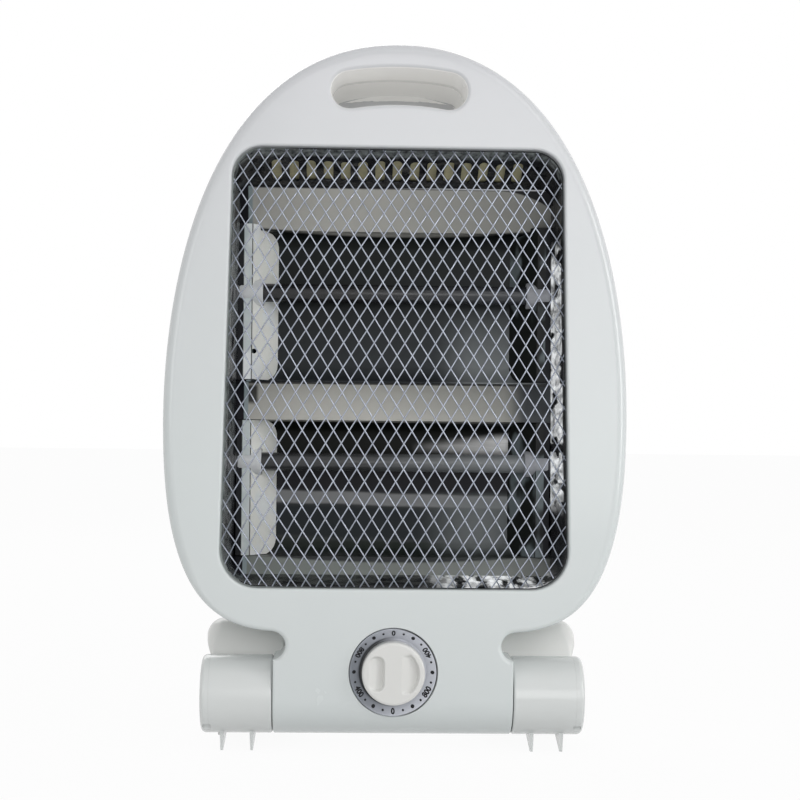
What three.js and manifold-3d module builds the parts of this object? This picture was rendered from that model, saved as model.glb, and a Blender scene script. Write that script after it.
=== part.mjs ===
// A free-standing quartz heater: an egg-shaped moulded body on a round base, two quartz tubes in
// front of a folded reflector, a domed wire grille, a rotary dial and two folding feet.
// Lengths are in millimetres. X runs to the viewer's right, Y to the rear and Z up.
// Y is measured from the hinge axis of the feet, which is also the axis of the round base.

import * as THREE from "three";
import { mergeVertices } from "three/addons/utils/BufferGeometryUtils.js";
import Module from "manifold-3d";

const wasm = await Module();
wasm.setup();

// Clearances and helpers shared by the whole part.
const gap = 0.3;
const overrun = 1;
const weldDistance = 1e-4;

// The egg-shaped body.
const bodyWidth = 240;
const bodyTop = 366.6;
const widestHeight = 172;
const undersideHeight = 63.2;
const undersideHalf = 59;
const bodySeam = 16.3;
const bodyBack = 54.3;
const wall = 2.4;
const frontEdgeRadius = 6;
const backDraft = 6;
const backEdgeRadius = 14;
const crownPullShare = 0.75;
const shoulderPullShare = 0.4625;
const hipPullShare = 0.66;
const bellyPullShare = 0.75;

// The round base and the neck above it.
const axisHeight = 28.4;
const baseRadius = 20.3;
const baseHalf = 62;
const neckHalf = 56.5;

// The stub axles that carry the feet.
const stubRadius = 14;
const stubEnd = 93.5;
const stubWall = 2.4;

// The window in the front face.
const crownBand = 53;
const chinBand = 21.3;
const sideBand = 28.5;
const windowTaper = 5.5;
const windowTop = bodyTop - crownBand;
const windowBottom = undersideHeight + chinBand;
const windowHeight = windowTop - windowBottom;
const windowBottomHalf = bodyWidth / 2 - sideBand;
const windowTopHalf = windowBottomHalf - windowTaper;
const windowTopRadius = 15.5;
const windowBottomRadius = 19.5;
const windowLipDepth = 4;
const windowLipWall = 2;

// The handle pocket.
const pocketDrop = 20.9;
const pocketHeight = bodyTop - pocketDrop;
const pocketHalfLength = 35.2;
const pocketHalfHeight = 9.6;
const pocketArchRadius = 150;
const pocketWall = 2;

// The grille: a domed net in a flat rim.
const grilleRimThickness = 1.2;
const grilleRimWidth = 7;
const grilleRimInset = 1.5;
const lipClearance = 0.6;
const sheetMargin = 0.8;
const grilleRise = 15;
const grillePitchAcross = 23;
const grillePitchUp = 36;
const grilleStrand = 1.5;
const grilleEdgePower = 3.2;
const grilleCornerPower = 7;

// The tray: a tapered sheet-metal box behind the grille.
const trayWall = 0.8;
const trayRear = 22;
const trayTopDraft = 15.2;
const trayBottomDraft = 4.3;
const trayTopSideDraft = 2;
const trayBottomSideDraft = 5.5;
const trayRearTop = windowTop - trayTopDraft;
const trayRearBottom = windowBottom + trayBottomDraft;
const trayRearTopHalf = windowTopHalf - trayTopSideDraft;
const trayRearBottomHalf = windowBottomHalf - trayBottomSideDraft;
const trayRearRadius = 6;
const ventCount = 15;
const ventPitch = 9.4;
const ventWidth = 5.2;
const ventFrontMargin = 8;
const ventRearMargin = 7;

// The two folded reflector sheets.
const sheet = 0.8;
const reflectorOverlap = 2;
const troughDepth = 20;
const bottomPanelShare = 0.0615;
const lowerTroughShare = 0.3217;
const dividerShare = 0.093;
const upperTroughShare = 0.3549;
const topPanelSlope = 7;
const bottomPanelSlope = 3;
const reflectorTab = 5;
const reflectorHalf = trayRearBottomHalf + reflectorOverlap;
const bottomPanelTop = windowBottom + windowHeight * bottomPanelShare;
const dividerBottom = bottomPanelTop + windowHeight * lowerTroughShare;
const dividerTop = dividerBottom + windowHeight * dividerShare;
const topPanelLow = dividerTop + windowHeight * upperTroughShare;

// The end plates of the troughs.
const endPlateOverlap = 0.4;
const endPlateFlat = 4.4;
const endPlateSlant = 17;
const endPlateFoldY = 24;
const endPlateOuterHalf = trayRearTopHalf + endPlateOverlap;
const endPlateFoldHalf = endPlateOuterHalf - endPlateFlat;
const endPlateDeepHalf = endPlateFoldHalf - endPlateSlant;

// The quartz tubes, their ceramic caps and their terminals.
const upperTubeLift = 6.9;
const lowerTubeLift = 14;
const upperTubeHeight = (topPanelLow + dividerTop) / 2 + upperTubeLift;
const lowerTubeHeight = (dividerBottom + bottomPanelTop) / 2 + lowerTubeLift;
const tubeY = 30;
const tubeRadius = 5;
const tubeWall = 1;
const tubeSetback = 5;
const tubeHalf = endPlateOuterHalf - tubeSetback;
const coilRadius = 3.2;
const capRadius = 7;
const capSeat = 8;
const capInner = tubeHalf - capSeat;
const capLength = 16.6;
const capGrooveDepth = 2;
const terminalRadius = 1;
const terminalReach = 5;
const tabLength = 7;
const tabWidth = 6.3;
const tabThickness = 0.8;

// The dial, its knob and the rotary switch.
const dialHeight = 42.6;
const dialRadius = 22.5;
const dialFloorRadius = 17.2;
const dialDepth = 4.3;
const dialFloor = 1.6;
const knobRadius = 16.2;
const knobFront = 26.3;
const knobFloorGap = 0.6;
const knobWall = 2.2;
const knobEdgeRadius = 1.4;
const scoopCentre = 8.6;
const scoopHalfWidth = 4;
const scoopHalfHeight = 9.4;
const scoopDepth = 3.6;
const bushingRadius = 4.5;
const nutRadius = 7;
const nutThickness = 2.5;
const shaftRadius = 3;
const shaftFlat = 1.2;
const shaftEngagement = 4;
const switchWidth = 27;
const switchHeight = 24;
const switchDepth = 17;
const switchLugWidth = 4.8;
const switchLugLength = 6;

// The folding feet.
const footSeam = 0.6;
const footEnd = 100.2;
const footHidden = 50;
const footTaper = 6;
const footWaistHeight = 36;
const footWaistRadius = 6;
const footWall = 2.2;
const footWebThickness = 2.5;
const footCapLength = 5.2;
const footCapRadius = 2.6;
const footCrestHeight = 64.4;
const footCrestY = 30;
const footTailY = 86;
const footRootAngle = 55;
const footRootReachShare = 0.1;
const footRootRiseShare = 0.6;
const footCrestPullShare = 0.45;
const footToeReachShare = 0.04;
const footToeRiseShare = 0.35;
const footCornerRadius = 9;
const footSkirtFront = 22;
const footToeLength = 8;
const ribInner = 73;
const ribOuter = 88.5;
const ribRoot = 3;
const ribTip = 1.6;
const ribFront = 8;
const notchWidth = 2.6;
const notchHeight = 3.2;
const notchDrop = 15.5;
const washerRadius = 16.6;
const washerThickness = 1.5;
const footScrewRadius = 1.8;
const footScrewHead = 3.6;
const footScrewLength = 14;

// The screws of the body.
const screwRadius = 1.5;
const screwHeadRadius = 3;
const screwHeadHeight = 2.2;
const screwLength = 18;
const bossRadius = 4.6;
const counterboreRadius = 3.4;
const upperScrewOut = 15.8;
const upperScrewDrop = 28.6;
const sideScrewInset = 12;
const sideScrewDrop = 22;
const baseScrewInset = 15;
const upperScrewX = pocketHalfLength + upperScrewOut;
const upperScrewZ = bodyTop - upperScrewDrop;
const sideScrewX = bodyWidth / 2 - sideScrewInset;
const sideScrewZ = widestHeight - sideScrewDrop;
const baseScrewX = baseHalf - baseScrewInset;
const trayBossRadius = 3;
const trayScrewRadius = 1.2;
const trayScrewHead = 2.5;
const trayScrewHeadHeight = 1.5;
const trayScrewLength = 6.4;
const trayScrewX = 45;
const trayScrewOut = 4;

// The vents in the back.
const louvreRows = 10;
const louvrePitch = 17;
const louvreLow = 108;
const louvreHeight = 4;
const louvreLength = 52;
const louvreX = 33;

// The parts inside the base and behind the reflector.
const glandRadius = 7;
const glandFlange = 9.5;
const glandBore = 3.6;
const glandReach = 9;
const tiltCaseWidth = 16;
const tiltCaseHeight = 26;
const tiltCaseDepth = 20;
const tiltCaseWall = 1.6;
const tiltCaseX = 32;
const tiltPinRadius = 1.2;
const tiltBobRadius = 4.4;
const tiltBobHeight = 7;
const tiltArmLength = 11;
const cutoutRadius = 7.5;
const cutoutHeight = 5.5;
const cutoutEarReach = 12;
const cutoutEarWidth = 7;
const blockLength = 26;
const blockHeight = 12;
const blockDepth = 11;
const blockX = -28;
const blockBoreRadius = 2.2;
const leadRadius = 1.3;

// Derived places.
const front = -baseRadius;
const bodyHalf = bodyWidth / 2;
const notchRadius = (undersideHeight - axisHeight - baseRadius) / 2;
const lipEnd = front + wall + windowLipDepth;
const rimFront = lipEnd + gap;
const rimBack = rimFront + grilleRimThickness;
const trayFront = rimBack + gap;
const crestSegments = 8;
const arcSegments = 3;
const roundSegments = 16;
const smallSegments = 6;
const pinSegments = 8;
const tubeSegments = 10;
const dialSegments = 24;
const leadSteps = 13;
const ventArcSegments = 2;
const leadSides = 6;
const nutSides = 6;

// Solids from three.js geometries, joined and cut with manifold-3d.

function solidOf(geometry) {
  const bare = geometry.clone();
  bare.deleteAttribute("normal");
  bare.deleteAttribute("uv");
  const merged = mergeVertices(bare, weldDistance);
  const corners = merged.index.array;
  const kept = [];
  for (let i = 0; i < corners.length; i += 3) {
    const [a, b, c] = corners.slice(i, i + 3);
    if (a !== b && b !== c && c !== a) kept.push(a, b, c);
  }
  return new wasm.Manifold(
    new wasm.Mesh({
      numProp: 3,
      vertProperties: merged.attributes.position.array,
      triVerts: new Uint32Array(kept),
    }),
  );
}

function geometryOf(solid) {
  const mesh = solid.getMesh();
  const geometry = new THREE.BufferGeometry();
  geometry.setAttribute("position", new THREE.BufferAttribute(mesh.vertProperties, 3));
  geometry.setIndex(new THREE.BufferAttribute(mesh.triVerts, 1));
  const flat = geometry.toNonIndexed();
  flat.computeVertexNormals();
  return flat;
}

function join(...solids) {
  return solids.reduce((all, next) => all.add(next));
}

function cut(solid, ...tools) {
  return tools.reduce((rest, tool) => rest.subtract(tool), solid);
}

function counterClockwise(points) {
  return THREE.ShapeUtils.isClockWise(points) ? [...points].reverse() : points;
}

function extrusion(points, length) {
  const shape = new THREE.Shape(counterClockwise(points));
  return new THREE.ExtrudeGeometry(shape, { depth: length, bevelEnabled: false, steps: 1 });
}

// A prism whose outline lies in the XZ plane, from y0 to y1.
function alongY(points, y0, y1) {
  return solidOf(extrusion(points, y1 - y0).rotateX(Math.PI / 2).translate(0, y1, 0));
}

// A prism whose outline lies in the YZ plane, from x0 to x1.
function alongX(points, x0, x1) {
  const turn = new THREE.Matrix4().makeBasis(
    new THREE.Vector3(0, 1, 0),
    new THREE.Vector3(0, 0, 1),
    new THREE.Vector3(1, 0, 0),
  );
  return solidOf(extrusion(points, x1 - x0).applyMatrix4(turn).translate(x0, 0, 0));
}

// A prism whose outline lies in the XY plane, from z0 to z1.
function alongZ(points, z0, z1) {
  return solidOf(extrusion(points, z1 - z0).translate(0, 0, z0));
}

function box(x0, x1, y0, y1, z0, z1) {
  const shape = new THREE.BoxGeometry(x1 - x0, y1 - y0, z1 - z0);
  return solidOf(shape.translate((x0 + x1) / 2, (y0 + y1) / 2, (z0 + z1) / 2));
}

// A solid of revolution about the Y axis: each profile point is [radius, y].
function turnedY(profile, x, z, segments = roundSegments) {
  const points = profile.map(([radius, along]) => new THREE.Vector2(radius, along));
  const ordered = counterClockwise(points);
  const onAxis = ordered.findIndex((p, i) => {
    const next = ordered[(i + 1) % ordered.length];
    return p.x === 0 && next.x === 0;
  });
  const start = onAxis + 1;
  const closed = onAxis < 0
    ? [...ordered, ordered[0]]
    : ordered.map((_, i) => ordered[(start + i) % ordered.length]);
  return solidOf(new THREE.LatheGeometry(closed, segments).translate(x, 0, z));
}

// The same about a line along X: each profile point is [radius, x].
function turnedX(profile, y, z, segments = roundSegments) {
  const turn = new THREE.Matrix4().makeRotationZ(-Math.PI / 2).setPosition(0, y, z);
  return turnedY(profile, 0, 0, segments).transform(turn.toArray());
}

function mirroredX(solid) {
  return solid.mirror([1, 0, 0]);
}

function rod(radius, y0, y1, x, z, segments = roundSegments) {
  return turnedY([[0, y0], [radius, y0], [radius, y1], [0, y1]], x, z, segments);
}

function rodX(radius, x0, x1, y, z, segments = roundSegments) {
  return turnedX([[0, x0], [radius, x0], [radius, x1], [0, x1]], y, z, segments);
}

// Outlines in the XZ plane.

// A polygon with rounded corners: each corner is [x, z, radius].
function roundedOutline(corners) {
  const points = [];
  corners.forEach(([x, z, radius], i) => {
    const here = new THREE.Vector2(x, z);
    const before = new THREE.Vector2(...corners.at(i - 1));
    const after = new THREE.Vector2(...corners[(i + 1) % corners.length]);
    const toBefore = before.sub(here).normalize();
    const toAfter = after.sub(here).normalize();
    const half = Math.acos(toBefore.dot(toAfter)) / 2;
    const centre = toBefore.clone().add(toAfter).normalize()
      .multiplyScalar(radius / Math.sin(half)).add(here);
    const from = toBefore.multiplyScalar(radius / Math.tan(half)).add(here).sub(centre);
    const to = toAfter.multiplyScalar(radius / Math.tan(half)).add(here).sub(centre);
    const start = Math.atan2(from.y, from.x);
    const sweep = Math.atan2(from.cross(to), from.dot(to));
    for (let k = 0; k <= arcSegments; k += 1) {
      const angle = start + (sweep * k) / arcSegments;
      points.push(new THREE.Vector2(
        centre.x + radius * Math.cos(angle),
        centre.y + radius * Math.sin(angle),
      ));
    }
  });
  return points;
}

function trapezoid(topHalf, bottomHalf, bottom, top, topRadius, bottomRadius) {
  return roundedOutline([
    [-bottomHalf, bottom, bottomRadius],
    [bottomHalf, bottom, bottomRadius],
    [topHalf, top, topRadius],
    [-topHalf, top, topRadius],
  ]);
}

function windowOutline(grow) {
  return trapezoid(
    windowTopHalf + grow,
    windowBottomHalf + grow,
    windowBottom - grow,
    windowTop + grow,
    windowTopRadius + grow,
    windowBottomRadius + grow,
  );
}

function trayRearOutline(grow) {
  return trapezoid(
    trayRearTopHalf + grow,
    trayRearBottomHalf + grow,
    trayRearBottom - grow,
    trayRearTop + grow,
    trayRearRadius + grow,
    trayRearRadius + grow,
  );
}

// The egg outline, drawn in by inset along its own normals.
function eggOutline(inset) {
  const hip = new THREE.CubicBezierCurve(
    new THREE.Vector2(undersideHalf, undersideHeight),
    new THREE.Vector2(
      undersideHalf + (bodyHalf - undersideHalf) * bellyPullShare,
      undersideHeight,
    ),
    new THREE.Vector2(bodyHalf, widestHeight - (widestHeight - undersideHeight) * hipPullShare),
    new THREE.Vector2(bodyHalf, widestHeight),
  );
  const shoulder = new THREE.CubicBezierCurve(
    new THREE.Vector2(bodyHalf, widestHeight),
    new THREE.Vector2(bodyHalf, widestHeight + (bodyTop - widestHeight) * shoulderPullShare),
    new THREE.Vector2(bodyHalf * crownPullShare, bodyTop),
    new THREE.Vector2(0, bodyTop),
  );
  const right = [];
  for (const curve of [hip, shoulder]) {
    for (let i = 0; i < crestSegments; i += 1) {
      const point = curve.getPoint(i / crestSegments);
      const along = curve.getTangent(i / crestSegments);
      right.push(new THREE.Vector2(point.x - along.y * inset, point.y + along.x * inset));
    }
  }
  const left = [...right].reverse().map((p) => new THREE.Vector2(-p.x, p.y));
  return [...right, new THREE.Vector2(0, bodyTop - inset), ...left];
}

function archedSlot(grow) {
  const half = pocketHalfHeight + grow;
  const endAngle = Math.asin((pocketHalfLength - pocketHalfHeight) / pocketArchRadius);
  const centreZ = pocketHeight - pocketArchRadius;
  const at = (radius, angle) => new THREE.Vector2(
    radius * Math.sin(angle),
    centreZ + radius * Math.cos(angle),
  );
  const points = [];
  for (let k = 0; k <= arcSegments; k += 1) {
    points.push(at(pocketArchRadius + half, endAngle * (1 - (2 * k) / arcSegments)));
  }
  for (let k = 1; k < arcSegments; k += 1) {
    const turn = -endAngle + (Math.PI * (arcSegments - k)) / arcSegments - Math.PI / 2;
    const end = at(pocketArchRadius, -endAngle);
    points.push(new THREE.Vector2(
      end.x - half * Math.cos(turn),
      end.y + half * Math.sin(turn),
    ));
  }
  for (let k = 0; k <= arcSegments; k += 1) {
    points.push(at(pocketArchRadius - half, endAngle * ((2 * k) / arcSegments - 1)));
  }
  for (let k = 1; k < arcSegments; k += 1) {
    const turn = endAngle + (Math.PI * k) / arcSegments - Math.PI / 2;
    const end = at(pocketArchRadius, endAngle);
    points.push(new THREE.Vector2(
      end.x + half * Math.cos(turn),
      end.y + half * Math.sin(turn),
    ));
  }
  return points;
}

// Loft through rings that all have the same number of points, from front to back: each ring is
// [points, y], with its points counter-clockwise as seen from the front.
function loft(rings) {
  const count = rings[0][0].length;
  const positions = [];
  rings.forEach(([points, y]) => points.forEach((p) => positions.push(p.x, y, p.y)));
  const triangles = [];
  for (let ring = 0; ring + 1 < rings.length; ring += 1) {
    for (let i = 0; i < count; i += 1) {
      const a = ring * count + i;
      const b = ring * count + ((i + 1) % count);
      triangles.push(a, b + count, b, a, a + count, b + count);
    }
  }
  const last = (rings.length - 1) * count;
  const frontCap = THREE.ShapeUtils.triangulateShape(rings[0][0], []);
  frontCap.forEach(([a, b, c]) => triangles.push(a, b, c));
  const backCap = THREE.ShapeUtils.triangulateShape(rings.at(-1)[0], []);
  backCap.forEach(([a, b, c]) => triangles.push(last + a, last + c, last + b));
  const geometry = new THREE.BufferGeometry();
  geometry.setAttribute("position", new THREE.Float32BufferAttribute(positions, 3));
  geometry.setIndex(triangles);
  return solidOf(geometry);
}

// Body solids.

// The egg from its front face to the seam, drawn in by inset all round.
function eggFront(inset, y1) {
  const rings = [];
  for (let k = 0; k < arcSegments; k += 1) {
    const angle = (k / (arcSegments - 1)) * (Math.PI / 2);
    const edge = Math.max(frontEdgeRadius - inset, 0);
    rings.push([
      eggOutline(inset + edge * (1 - Math.sin(angle))),
      front + inset + edge * (1 - Math.cos(angle)),
    ]);
  }
  rings.push([eggOutline(inset), y1]);
  return loft(rings);
}

function eggBack(inset, y0) {
  const bend = bodyBack - backEdgeRadius;
  const rings = [[eggOutline(inset), y0]];
  for (let k = 0; k < arcSegments; k += 1) {
    const angle = (k / (arcSegments - 1)) * (Math.PI / 2);
    rings.push([
      eggOutline(backDraft + inset + (backEdgeRadius - inset) * (1 - Math.cos(angle))),
      bend + (backEdgeRadius - inset) * Math.sin(angle),
    ]);
  }
  return loft(rings);
}

// The base and neck: a front view outline met by a side view outline.
function baseSolid(inset) {
  const bottom = axisHeight - baseRadius + inset;
  const top = axisHeight + baseRadius - inset;
  const notch = notchRadius + inset;
  const notchZ = undersideHeight - notchRadius;
  const half = baseHalf - inset;
  const centre = neckHalf + notchRadius;
  const right = [new THREE.Vector2(half, bottom), new THREE.Vector2(half, top)];
  for (let k = 1; k <= 2 * arcSegments; k += 1) {
    const angle = -Math.PI / 2 - (k / (2 * arcSegments)) * Math.PI;
    const point = new THREE.Vector2(
      centre + notch * Math.cos(angle),
      notchZ + notch * Math.sin(angle),
    );
    if (point.x < half - inset - gap) right.push(point);
  }
  right.push(new THREE.Vector2(centre, undersideHeight + 2 * frontEdgeRadius));
  const left = [...right].reverse().map((p) => new THREE.Vector2(-p.x, p.y));
  const side = [];
  const radius = baseRadius - inset;
  for (let k = 0; k <= 4 * arcSegments; k += 1) {
    const angle = -(k / (4 * arcSegments)) * Math.PI;
    side.push(new THREE.Vector2(radius * Math.cos(angle), axisHeight + radius * Math.sin(angle)));
  }
  side.push(new THREE.Vector2(-radius, undersideHeight + 2 * frontEdgeRadius));
  side.push(new THREE.Vector2(radius, undersideHeight + 2 * frontEdgeRadius));
  return alongY([...right, ...left], front - overrun, baseRadius + overrun)
    .intersect(alongX(side, -half, half));
}

function inFront(y) {
  return box(-bodyWidth, bodyWidth, -bodyWidth, y, -bodyWidth, 2 * bodyTop);
}

function behind(y) {
  return box(-bodyWidth, bodyWidth, y, bodyWidth, -bodyWidth, 2 * bodyTop);
}

const seamFront = bodySeam - gap / 2;
const seamBack = bodySeam + gap / 2;
const cavityFront = eggFront(wall, seamBack + overrun);
const cavityBack = eggBack(wall, seamFront - overrun);
const bodyScrews = [
  [-upperScrewX, upperScrewZ],
  [upperScrewX, upperScrewZ],
  [-sideScrewX, sideScrewZ],
  [sideScrewX, sideScrewZ],
  [-baseScrewX, axisHeight],
  [baseScrewX, axisHeight],
];

function windowHalfAt(z) {
  const share = (z - windowBottom) / windowHeight;
  return windowBottomHalf + (windowTopHalf - windowBottomHalf) * share;
}

const trayScrewSideZ = (windowTop + windowBottom) / 2;
const trayScrews = [
  [-windowHalfAt(trayScrewSideZ) - trayScrewOut, trayScrewSideZ],
  [windowHalfAt(trayScrewSideZ) + trayScrewOut, trayScrewSideZ],
  [-trayScrewX, windowBottom - trayScrewOut],
  [trayScrewX, windowBottom - trayScrewOut],
];

function stub() {
  const pilot = footScrewRadius + gap;
  const start = baseHalf - wall - overrun;
  const shell = turnedX(
    [
      [0, stubEnd],
      [stubRadius, stubEnd],
      [stubRadius, start],
      [stubRadius - stubWall, start],
      [stubRadius - stubWall, stubEnd - stubWall],
      [pilot + stubWall, stubEnd - stubWall],
      [pilot + stubWall, stubEnd - footScrewLength - stubWall],
      [0, stubEnd - footScrewLength - stubWall],
    ],
    0,
    axisHeight,
  );
  return shell.subtract(
    rodX(pilot, stubEnd - footScrewLength, stubEnd + overrun, 0, axisHeight, smallSegments),
  );
}

function dialCup() {
  const floorBack = front + dialDepth + dialFloor + gap + dialFloor;
  return {
    wallRing: rod(dialRadius + gap + pocketWall, front + wall + overrun, floorBack, 0, dialHeight),
    recess: rod(
      dialRadius + gap,
      front - overrun,
      front + dialDepth + dialFloor + gap,
      0,
      dialHeight,
      dialSegments,
    ),
    hole: rod(bushingRadius + gap, front - overrun, floorBack + overrun, 0, dialHeight),
  };
}

function frontShell() {
  const cup = dialCup();
  const outer = join(eggFront(0, seamFront), baseSolid(0).intersect(inFront(seamFront)));
  const hollow = join(cavityFront, baseSolid(wall));
  const lip = alongY(windowOutline(windowLipWall), front + wall - gap, lipEnd);
  const pocket = alongY(archedSlot(pocketWall), front + wall - gap, seamFront);
  const bosses = bodyScrews.map(([x, z]) => rod(
    bossRadius,
    front + wall - gap,
    seamFront,
    x,
    z,
    smallSegments,
  ));
  const trayBosses = trayScrews.map(([x, z]) => rod(
    trayBossRadius,
    front + wall - gap,
    lipEnd,
    x,
    z,
    smallSegments,
  ));
  const pilots = bodyScrews.map(([x, z]) => rod(
    screwRadius + gap,
    seamFront - screwLength,
    seamFront + overrun,
    x,
    z,
    smallSegments,
  ));
  const trayPilots = trayScrews.map(([x, z]) => rod(
    trayScrewRadius + gap,
    front + wall,
    lipEnd + overrun,
    x,
    z,
    smallSegments,
  ));
  const stubHole = (side) => rodX(
    stubRadius - stubWall,
    side * baseHalf - wall - overrun,
    side * baseHalf + wall + overrun,
    0,
    axisHeight,
  );
  const skin = outer.subtract(hollow);
  const full = join(
    skin,
    lip,
    pocket,
    cup.wallRing.intersect(outer),
    ...bosses,
    ...trayBosses,
    stub(),
    mirroredX(stub()),
  );
  return cut(
    full,
    alongY(windowOutline(0), front - overrun, lipEnd + overrun),
    alongY(archedSlot(0), front - overrun, seamFront + overrun),
    cup.recess,
    cup.hole,
    ...pilots,
    ...trayPilots,
    stubHole(1),
    stubHole(-1),
  );
}

function louvre(x, z) {
  const half = louvreHeight / 2;
  const reach = louvreLength / 2;
  const outline = [
    [-reach, 0],
    [half - reach, -half],
    [reach - half, -half],
    [reach, 0],
    [reach - half, half],
    [half - reach, half],
  ];
  return alongY(
    outline.map(([u, v]) => new THREE.Vector2(x + u, z + v)),
    bodyBack - wall - overrun,
    bodyBack + overrun,
  );
}

function backShell() {
  const outer = join(eggBack(0, seamBack), baseSolid(0).intersect(behind(seamBack)));
  const hollow = join(cavityBack, baseSolid(wall));
  const pocket = alongY(archedSlot(pocketWall), seamBack, bodyBack).intersect(outer);
  const bosses = bodyScrews.map(([x, z]) => {
    const post = rod(bossRadius, seamBack, bodyBack, x, z, smallSegments);
    return post.intersect(outer);
  });
  const seats = bodyScrews.map(([x, z]) => rod(
    counterboreRadius,
    screwSeat(z),
    bodyBack + overrun,
    x,
    z,
    pinSegments,
  ));
  const holes = bodyScrews.map(([x, z]) => rod(
    screwRadius + gap,
    seamFront,
    screwSeat(z) + overrun,
    x,
    z,
    smallSegments,
  ));
  const louvres = [];
  for (let row = 0; row < louvreRows; row += 1) {
    for (const side of [-1, 1]) {
      louvres.push(louvre(side * louvreX, louvreLow + row * louvrePitch));
    }
  }
  const full = join(outer.subtract(hollow), pocket, ...bosses);
  return cut(
    full,
    alongY(archedSlot(0), seamFront, bodyBack).intersect(cavityBack),
    rod(glandRadius + gap, seamFront, baseRadius + overrun, 0, axisHeight),
    ...seats,
    ...holes,
    ...louvres,
  );
}

// Where a screw's head sits: near the seam, or just inside the thin back of the base.
function screwSeat(z) {
  return z > undersideHeight ? seamBack + 2 * wall : seamBack + wall;
}

// The grille.

function grilleReach(x, z) {
  const middle = (windowTop + windowBottom) / 2;
  const across = Math.abs(x) / windowHalfAt(z);
  const up = Math.abs(z - middle) / (windowHeight / 2);
  return (across ** grilleCornerPower + up ** grilleCornerPower) ** (1 / grilleCornerPower);
}

// The front of the net: domed, and flat again past the window's edge.
function grilleY(x, z) {
  const reach = Math.min(grilleReach(x, z), 1);
  return rimFront - grilleRise * (1 - reach ** grilleEdgePower);
}

// A net of diamonds as one closed surface. On a staggered grid every other point is a crossing of
// strands and the rest are the middles of holes. A strand has a ridge in front and a flat back.
const around = [[-1, 0], [0, -1], [1, 0], [0, 1]];

function net() {
  const halfX = grillePitchAcross / 2;
  const halfZ = grillePitchUp / 2;
  const middle = (windowTop + windowBottom) / 2;
  const reachX = Math.ceil(windowBottomHalf / halfX) + 1;
  const reachZ = Math.ceil(windowHeight / 2 / halfZ) + 1;
  const slope = Math.hypot(halfX, halfZ);
  const insetX = ((grilleStrand / 2) * slope) / halfZ;
  const insetZ = ((grilleStrand / 2) * slope) / halfX;
  const positions = [];
  const known = new Map();
  const vertex = (key, x, z, depth) => {
    if (!known.has(key)) {
      known.set(key, positions.length / 3);
      positions.push(x, grilleY(x, z) + depth, z);
    }
    return known.get(key);
  };
  const ridge = (i, j) => vertex(`ridge ${i} ${j}`, i * halfX, middle + j * halfZ, 0);
  const edge = (i, j) => vertex(
    `edge ${i} ${j}`,
    i * halfX,
    middle + j * halfZ,
    grilleRimThickness,
  );
  const corner = (i, j, di, dj) => vertex(
    `corner ${i} ${j} ${di} ${dj}`,
    i * halfX + di * (halfX - insetX),
    middle + j * halfZ + dj * (halfZ - insetZ),
    grilleRimThickness,
  );
  const isHole = (i, j) => (i + j) % 2 !== 0 && Math.abs(i) <= reachX && Math.abs(j) <= reachZ;
  const triangles = [];
  const face = (...ring) => {
    for (let k = 2; k < ring.length; k += 1) triangles.push(ring[0], ring[k - 1], ring[k]);
  };
  const strands = (i, j) => around.forEach(([pi, pj], k) => {
    const [qi, qj] = around[(k + 1) % around.length];
    const from = ridge(i + pi, j + pj);
    const to = ridge(i + qi, j + qj);
    const nearFrom = corner(i, j, pi, pj);
    const nearTo = corner(i, j, qi, qj);
    face(from, to, nearTo, nearFrom);
    const [oi, oj] = [i + pi + qi, j + pj + qj];
    if (!isHole(oi, oj)) {
      const farFrom = edge(i + pi, j + pj);
      const farTo = edge(i + qi, j + qj);
      face(to, from, farFrom, farTo);
      face(nearFrom, nearTo, farTo, farFrom);
    } else if (oi > i) {
      face(nearFrom, nearTo, corner(oi, oj, -pi, -pj), corner(oi, oj, -qi, -qj));
    }
  });
  const crossingBack = (i, j) => {
    const present = around.map(([di, dj]) => isHole(i + di, j + dj));
    if (!present.includes(true)) return;
    const start = present.includes(false)
      ? around.findIndex((_, k) => present[k] && !present.at(k - 1))
      : 0;
    const ring = [];
    for (let k = 0; k < around.length; k += 1) {
      const at = (start + k) % around.length;
      const [di, dj] = around[at];
      if (present[at]) ring.push(corner(i + di, j + dj, -di, -dj));
    }
    if (present.includes(false)) ring.push(edge(i, j));
    face(...ring.reverse());
  };
  for (let i = -reachX - 1; i <= reachX + 1; i += 1) {
    for (let j = -reachZ - 1; j <= reachZ + 1; j += 1) {
      if (isHole(i, j)) strands(i, j);
      if ((i + j) % 2 === 0) crossingBack(i, j);
    }
  }
  const geometry = new THREE.BufferGeometry();
  geometry.setAttribute("position", new THREE.Float32BufferAttribute(positions, 3));
  geometry.setIndex(triangles);
  return solidOf(geometry);
}

// The room for sheet-metal rims behind the front face.
function rimRoom(y0, y1) {
  return alongY(eggOutline(wall + sheetMargin), y0, y1);
}

function trayScrewHoles(y0, y1) {
  return trayScrews.map(([x, z]) => rod(trayScrewRadius + gap, y0, y1, x, z, smallSegments));
}

function grille() {
  const room = alongY(windowOutline(-lipClearance), rimFront - 2 * grilleRise, rimBack);
  const rim = alongY(windowOutline(grilleRimWidth), rimFront, rimBack)
    .intersect(rimRoom(rimFront - overrun, rimBack + overrun))
    .subtract(alongY(windowOutline(-grilleRimInset), rimFront - overrun, rimBack + overrun));
  const trimmed = net().intersect(room);
  return cut(join(trimmed, rim), ...trayScrewHoles(rimFront - overrun, rimBack + overrun));
}

// The tray: a front rim and four sloping walls, with a row of vents in the top wall.

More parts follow.
